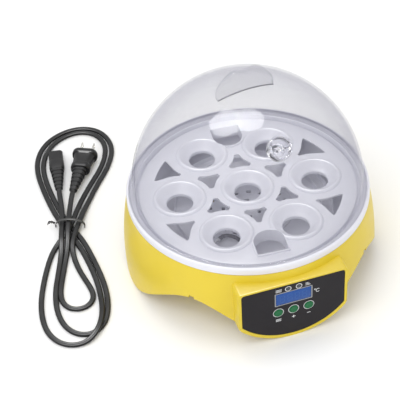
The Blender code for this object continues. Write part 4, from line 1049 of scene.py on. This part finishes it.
# Heights of the cord's middle where it lies on the floor, on one strand and on two
LOW = 1.75
MID = 5.15
TOP = 8.6
LEAD_ROUTE = (
    # from the connector over both rising strands to the middle loop
    (-160.8, 148.6, 4.6), (-162.0, 141.5, 4.4), (-163.2, 133.0, 4.6), (-164.5, 123.0, 5.0),
    (-166.4, 112.0, MID), (-169.0, 100.5, 5.4), (-171.6, 91.5, 6.3), (-174.2, 82.0, 7.2),
    (-176.4, 74.0, 7.0), (-178.6, 65.0, 5.0), (-181.0, 57.0, 2.9), (-184.6, 46.5, LOW),
    (-191.0, 29.0, LOW), (-197.6, 11.0, LOW), (-202.0, -7.0, LOW), (-203.6, -25.0, LOW),
    (-201.0, -42.0, LOW), (-193.6, -54.0, LOW), (-183.0, -59.2, LOW), (-172.0, -57.0, LOW),
    (-163.4, -48.5, LOW), (-157.4, -36.0, LOW), (-153.5, -21.0, LOW), (-151.5, -4.0, LOW),
    (-151.3, 14.0, LOW), (-152.3, 34.0, LOW), (-153.6, 50.0, LOW), (-155.0, 62.0, LOW),
    (-157.2, 74.0, LOW), (-160.2, 85.0, LOW), (-163.2, 96.0, LOW), (-165.6, 109.0, LOW),
    # inner loop round the connector and the plug
    (-167.6, 123.0, LOW), (-169.2, 140.0, LOW), (-170.0, 160.0, LOW), (-169.6, 182.0, LOW),
    (-166.0, 200.5, LOW), (-158.8, 215.8, LOW), (-148.8, 227.4, LOW), (-136.4, 235.0, LOW),
    (-122.0, 238.2, LOW), (-109.5, 235.2, LOW), (-100.0, 226.0, LOW), (-95.8, 211.0, LOW),
    (-98.0, 194.5, LOW), (-108.5, 172.5, LOW), (-127.0, 148.0, LOW), (-140.0, 130.0, 2.0),
    (-149.3, 114.5, 3.6), (-156.2, 101.5, 4.9), (-162.0, 91.8, MID), (-168.2, 83.4, 4.9),
    (-175.8, 76.0, 3.6), (-184.0, 68.0, 2.1), (-191.6, 57.0, LOW),
    # big loop, which ends by passing over the middle one
    (-200.4, 39.0, LOW), (-209.0, 18.0, LOW), (-215.8, -3.0, LOW), (-219.4, -24.0, LOW),
    (-218.8, -43.0, LOW), (-212.2, -58.5, LOW), (-201.0, -67.2, LOW), (-188.6, -68.6, 2.1),
    (-181.4, -66.0, 3.6), (-175.8, -61.4, 4.9), (-170.4, -54.6, MID), (-166.2, -46.5, MID),
    (-162.9, -37.0, 4.9), (-160.3, -25.0, 3.4), (-158.4, -11.0, 2.0), (-157.3, 4.0, LOW),
    (-157.4, 22.0, LOW), (-158.6, 40.0, LOW), (-160.2, 55.0, LOW), (-162.6, 69.0, LOW),
    (-166.0, 82.0, LOW), (-169.4, 95.0, LOW), (-172.0, 109.0, LOW), (-174.0, 124.0, LOW),
    # outer loop
    (-175.4, 142.0, LOW), (-176.2, 162.0, LOW), (-175.8, 184.0, LOW), (-172.0, 204.0, LOW),
    (-163.8, 221.4, LOW), (-151.6, 234.6, LOW), (-137.0, 242.2, LOW), (-121.5, 244.8, LOW),
    (-106.5, 241.0, LOW), (-94.5, 229.5, LOW), (-89.3, 211.0, LOW), (-91.5, 192.0, LOW),
    (-103.0, 168.5, LOW), (-121.5, 143.5, LOW), (-134.0, 125.0, 2.0), (-143.2, 110.5, 3.6),
    (-150.4, 97.5, 4.9), (-156.6, 86.5, MID), (-162.6, 75.5, MID), (-167.3, 65.0, 4.8),
    (-169.6, 55.0, 3.0), (-170.3, 43.0, LOW), (-169.6, 27.0, LOW), (-166.8, 9.0, LOW),
    # narrow loop and the way up to the plug
    (-164.6, -6.0, LOW), (-166.6, -16.4, LOW), (-172.4, -22.4, LOW), (-180.4, -24.6, LOW),
    (-188.4, -22.4, LOW), (-194.2, -16.4, LOW), (-196.3, -7.0, LOW), (-194.4, 5.0, LOW),
    (-189.6, 19.0, LOW), (-184.2, 33.0, LOW), (-179.6, 45.0, 1.9), (-175.6, 55.5, 2.8),
    (-172.0, 66.0, 4.9), (-169.0, 76.0, 7.3), (-166.2, 86.0, TOP), (-163.0, 96.0, 8.7),
    (-159.5, 107.0, 8.5), (-156.0, 117.0, 8.4), (-152.4, 127.0, 8.6), (-148.6, 136.2, 8.8),
)


def build_cord(pieces_on_it):
    """Flat twin cord along its route, with the groove between its two cores."""
    path = relaxed(curve_through(LEAD_ROUTE, 2.4), 10)
    core = CORD_HEIGHT / 2
    offset = CORD_WIDTH / 2 - core
    section = [*arc(offset, 0, core, -120, 120, 12), *arc(-offset, 0, core, 60, 300, 12)]
    bm = bmesh.new()
    rings = []
    for i, here in enumerate(path):
        along = (path[min(i + 1, len(path) - 1)] - path[max(i - 1, 0)]).normalized()
        side = along.cross(Vector((0, 0, 1))).normalized()
        up = side.cross(along)
        rings.append([bm.verts.new((here + side * x + up * z) * MM) for x, z in section])
    close_tube(bm, rings)
    cord = piece(bm, "mains_lead", looks["cord_vinyl"], "base", "cord_vinyl",
                 ("lead_hank", "lead_tail_connector", "lead_tail_plug"), sharp=70.0)


def add_strip(bm, path, half_width, half_height, across, place):
    """Sweeps a flat rounded section along a path."""
    rings = []
    for i, here in enumerate(path):
        along = (path[min(i + 1, len(path) - 1)] - path[max(i - 1, 0)]).normalized()
        side = (across - along * across.dot(along)).normalized()
        normal = along.cross(side)
        ring = []
        for x, z in rounded_box(half_width, half_height, half_height * 0.9, steps=3):
            ring.append(bm.verts.new(place @ ((here + side * x + normal * z) * MM)))
        rings.append(ring)
    close_tube(bm, rings)


def build_tie():
    """Coated wire tie: a flat strip over the neck whose two ends are twisted together."""
    place = moved(-162.5, 93.4, 0.0, turn=-22.0)
    loop = [
        (14.8, 0.9), (15.2, 3.6), (13.4, 7.4), (7.0, 10.7), (0.0, 11.7), (-5.0, 11.0),
        (-10.0, 9.5), (-13.6, 6.6), (-15.2, 3.6), (-15.0, 0.9),
    ]
    bm = bmesh.new()
    path = curve_through([(x, 0.0, z) for x, z in loop], 0.8)
    add_strip(bm, path, 1.5, 0.45, Vector((0, 1, 0)), place)
    tie = piece(bm, "tie_loop", looks["tie_vinyl"], "base", "tie_vinyl", ("twist_tie",))

    ends = []
    for number, phase in enumerate((0.0, 180.0), 1):
        path = []
        for step in range(41):
            t = step / 40
            angle = math.radians(phase + 540.0 * t)
            spread = 0.75 + max(0.0, t - 0.75) * 7.0
            reach = -15.9 - 6.5 * t
            lift = 5.4 + 2.6 * math.sin(math.pi * t * 0.8)
            path.append(Vector((
                reach, spread * math.cos(angle) - 1.5 * t, lift + spread * math.sin(angle),
            )))
        bm = bmesh.new()
        add_strip(bm, path, 0.62, 0.5, Vector((0, 1, 0)), place)
        ends.append(piece(bm, f"tie_end_{number}", looks["tie_vinyl"], "base", "tie_vinyl"))
    return [tie, *ends]


# --------------------------------------------------------- stage and camera

def area_light(name, place, target, size, power, shows_in_gloss_only=False):
    data = bpy.data.lights.new(name, "AREA")
    data.shape = "DISK"
    data.size = size
    data.energy = power
    obj = bpy.data.objects.new(name, data)
    bpy.context.scene.collection.objects.link(obj)
    obj.location = place
    obj.rotation_euler = (Vector(target) - Vector(place)).to_track_quat("-Z", "Y").to_euler()
    obj.visible_diffuse = not shows_in_gloss_only


def build_stage():
    floor_mesh = bmesh.new()
    add_prism(floor_mesh, ((-3000, -3000), (3000, -3000), (3000, 3000), (-3000, 3000)), -4.0, -0.1)
    look, nodes, links, shader = base_material("floor_paper")
    coords = nodes.new("ShaderNodeTexCoord")
    grain = noise(nodes, links, coords, 300.0)
    links.new(ramp(nodes, links, grain.outputs["Fac"], 0.55, 0.65), shader.inputs["Roughness"])
    shader.inputs["Base Color"].default_value = (0.93, 0.93, 0.93, 1.0)
    floor = piece(floor_mesh, "studio_floor", look, None)

    world = bpy.data.worlds.new("soft_studio")
    bpy.context.scene.world = world
    world.use_nodes = True
    background = world.node_tree.nodes["Background"]
    background.inputs["Color"].default_value = (1.0, 1.0, 1.0, 1.0)
    background.inputs["Strength"].default_value = 0.95
    area_light("umbrella_left", (-0.33, 0.39, 1.60), (0, 0, 0.15), 0.80, 42.0, True)
    area_light("umbrella_right", (0.17, 0.25, 1.66), (0, 0, 0.15), 0.70, 30.0, True)
    area_light("key", (-0.8, -0.7, 1.5), (0, 0, 0.05), 1.2, 9.0)


def build_camera():
    azimuth = math.radians(CAMERA_AZIMUTH)
    elevation = math.radians(CAMERA_ELEVATION)
    roll = math.radians(CAMERA_ROLL)
    right = Vector((1, 0, 0))
    ahead = Vector((0, math.cos(elevation), -math.sin(elevation)))
    down = Vector((0, -math.sin(elevation), -math.cos(elevation)))
    image_right = right * math.cos(roll) + down * math.sin(roll)
    image_down = down * math.cos(roll) - right * math.sin(roll)
    across, lower, away = CAMERA_OFFSET
    place = -(image_right * across + image_down * lower + ahead * away)
    place += Vector((0, 0, RIM_Z * MM))
    turn = Matrix.Rotation(azimuth, 4, "Z")
    axes = Matrix((image_right, -image_down, -ahead)).transposed().to_4x4()
    data = bpy.data.cameras.new("camera")
    data.lens = CAMERA_LENS
    data.sensor_width = 36.0
    data.clip_start = 0.05
    camera = bpy.data.objects.new("camera", data)
    bpy.context.scene.collection.objects.link(camera)
    camera.matrix_world = turn @ Matrix.Translation(place) @ axes
    bpy.context.scene.camera = camera


def dress_cad_nodes():
    """The plain CAD nodes that stay in view take the finish of their record slot."""
    for entry in frame["record"]["subparts"]:
        node = frame["nodes"][entry["node"]]
        if node.hide_render:
            continue
        node.data.materials.clear()
        node.data.materials.append(looks[entry["material_slot"]])


knob_tilt = math.radians(KNOB_ELEVATION)
knob_side = math.radians(DOME_YAW - 90.0)
KNOB_DIRECTION = Vector((
    math.cos(knob_tilt) * math.cos(knob_side),
    math.cos(knob_tilt) * math.sin(knob_side),
    math.sin(knob_tilt),
))
KNOB_PLACE = (
    Matrix.Translation(point(0, 0, DOME_CENTRE_Z) + KNOB_DIRECTION * DOME_R * MM)
    @ KNOB_DIRECTION.to_track_quat("Z", "Y").to_matrix().to_4x4()
)

looks = make_looks()

build_camera()
build_stage()
connector_pieces = build_connector()
plug_pieces = build_plug()
build_cord([*connector_pieces, *plug_pieces, *build_tie()])
build_housing()
build_bowl()
build_vent_plate()
build_tray()
build_dome()
build_knob()
build_fascia()
build_prints()
build_display_digits()
build_buttons()
dress_cad_nodes()
bpy.context.scene.view_settings.view_transform = "Standard"
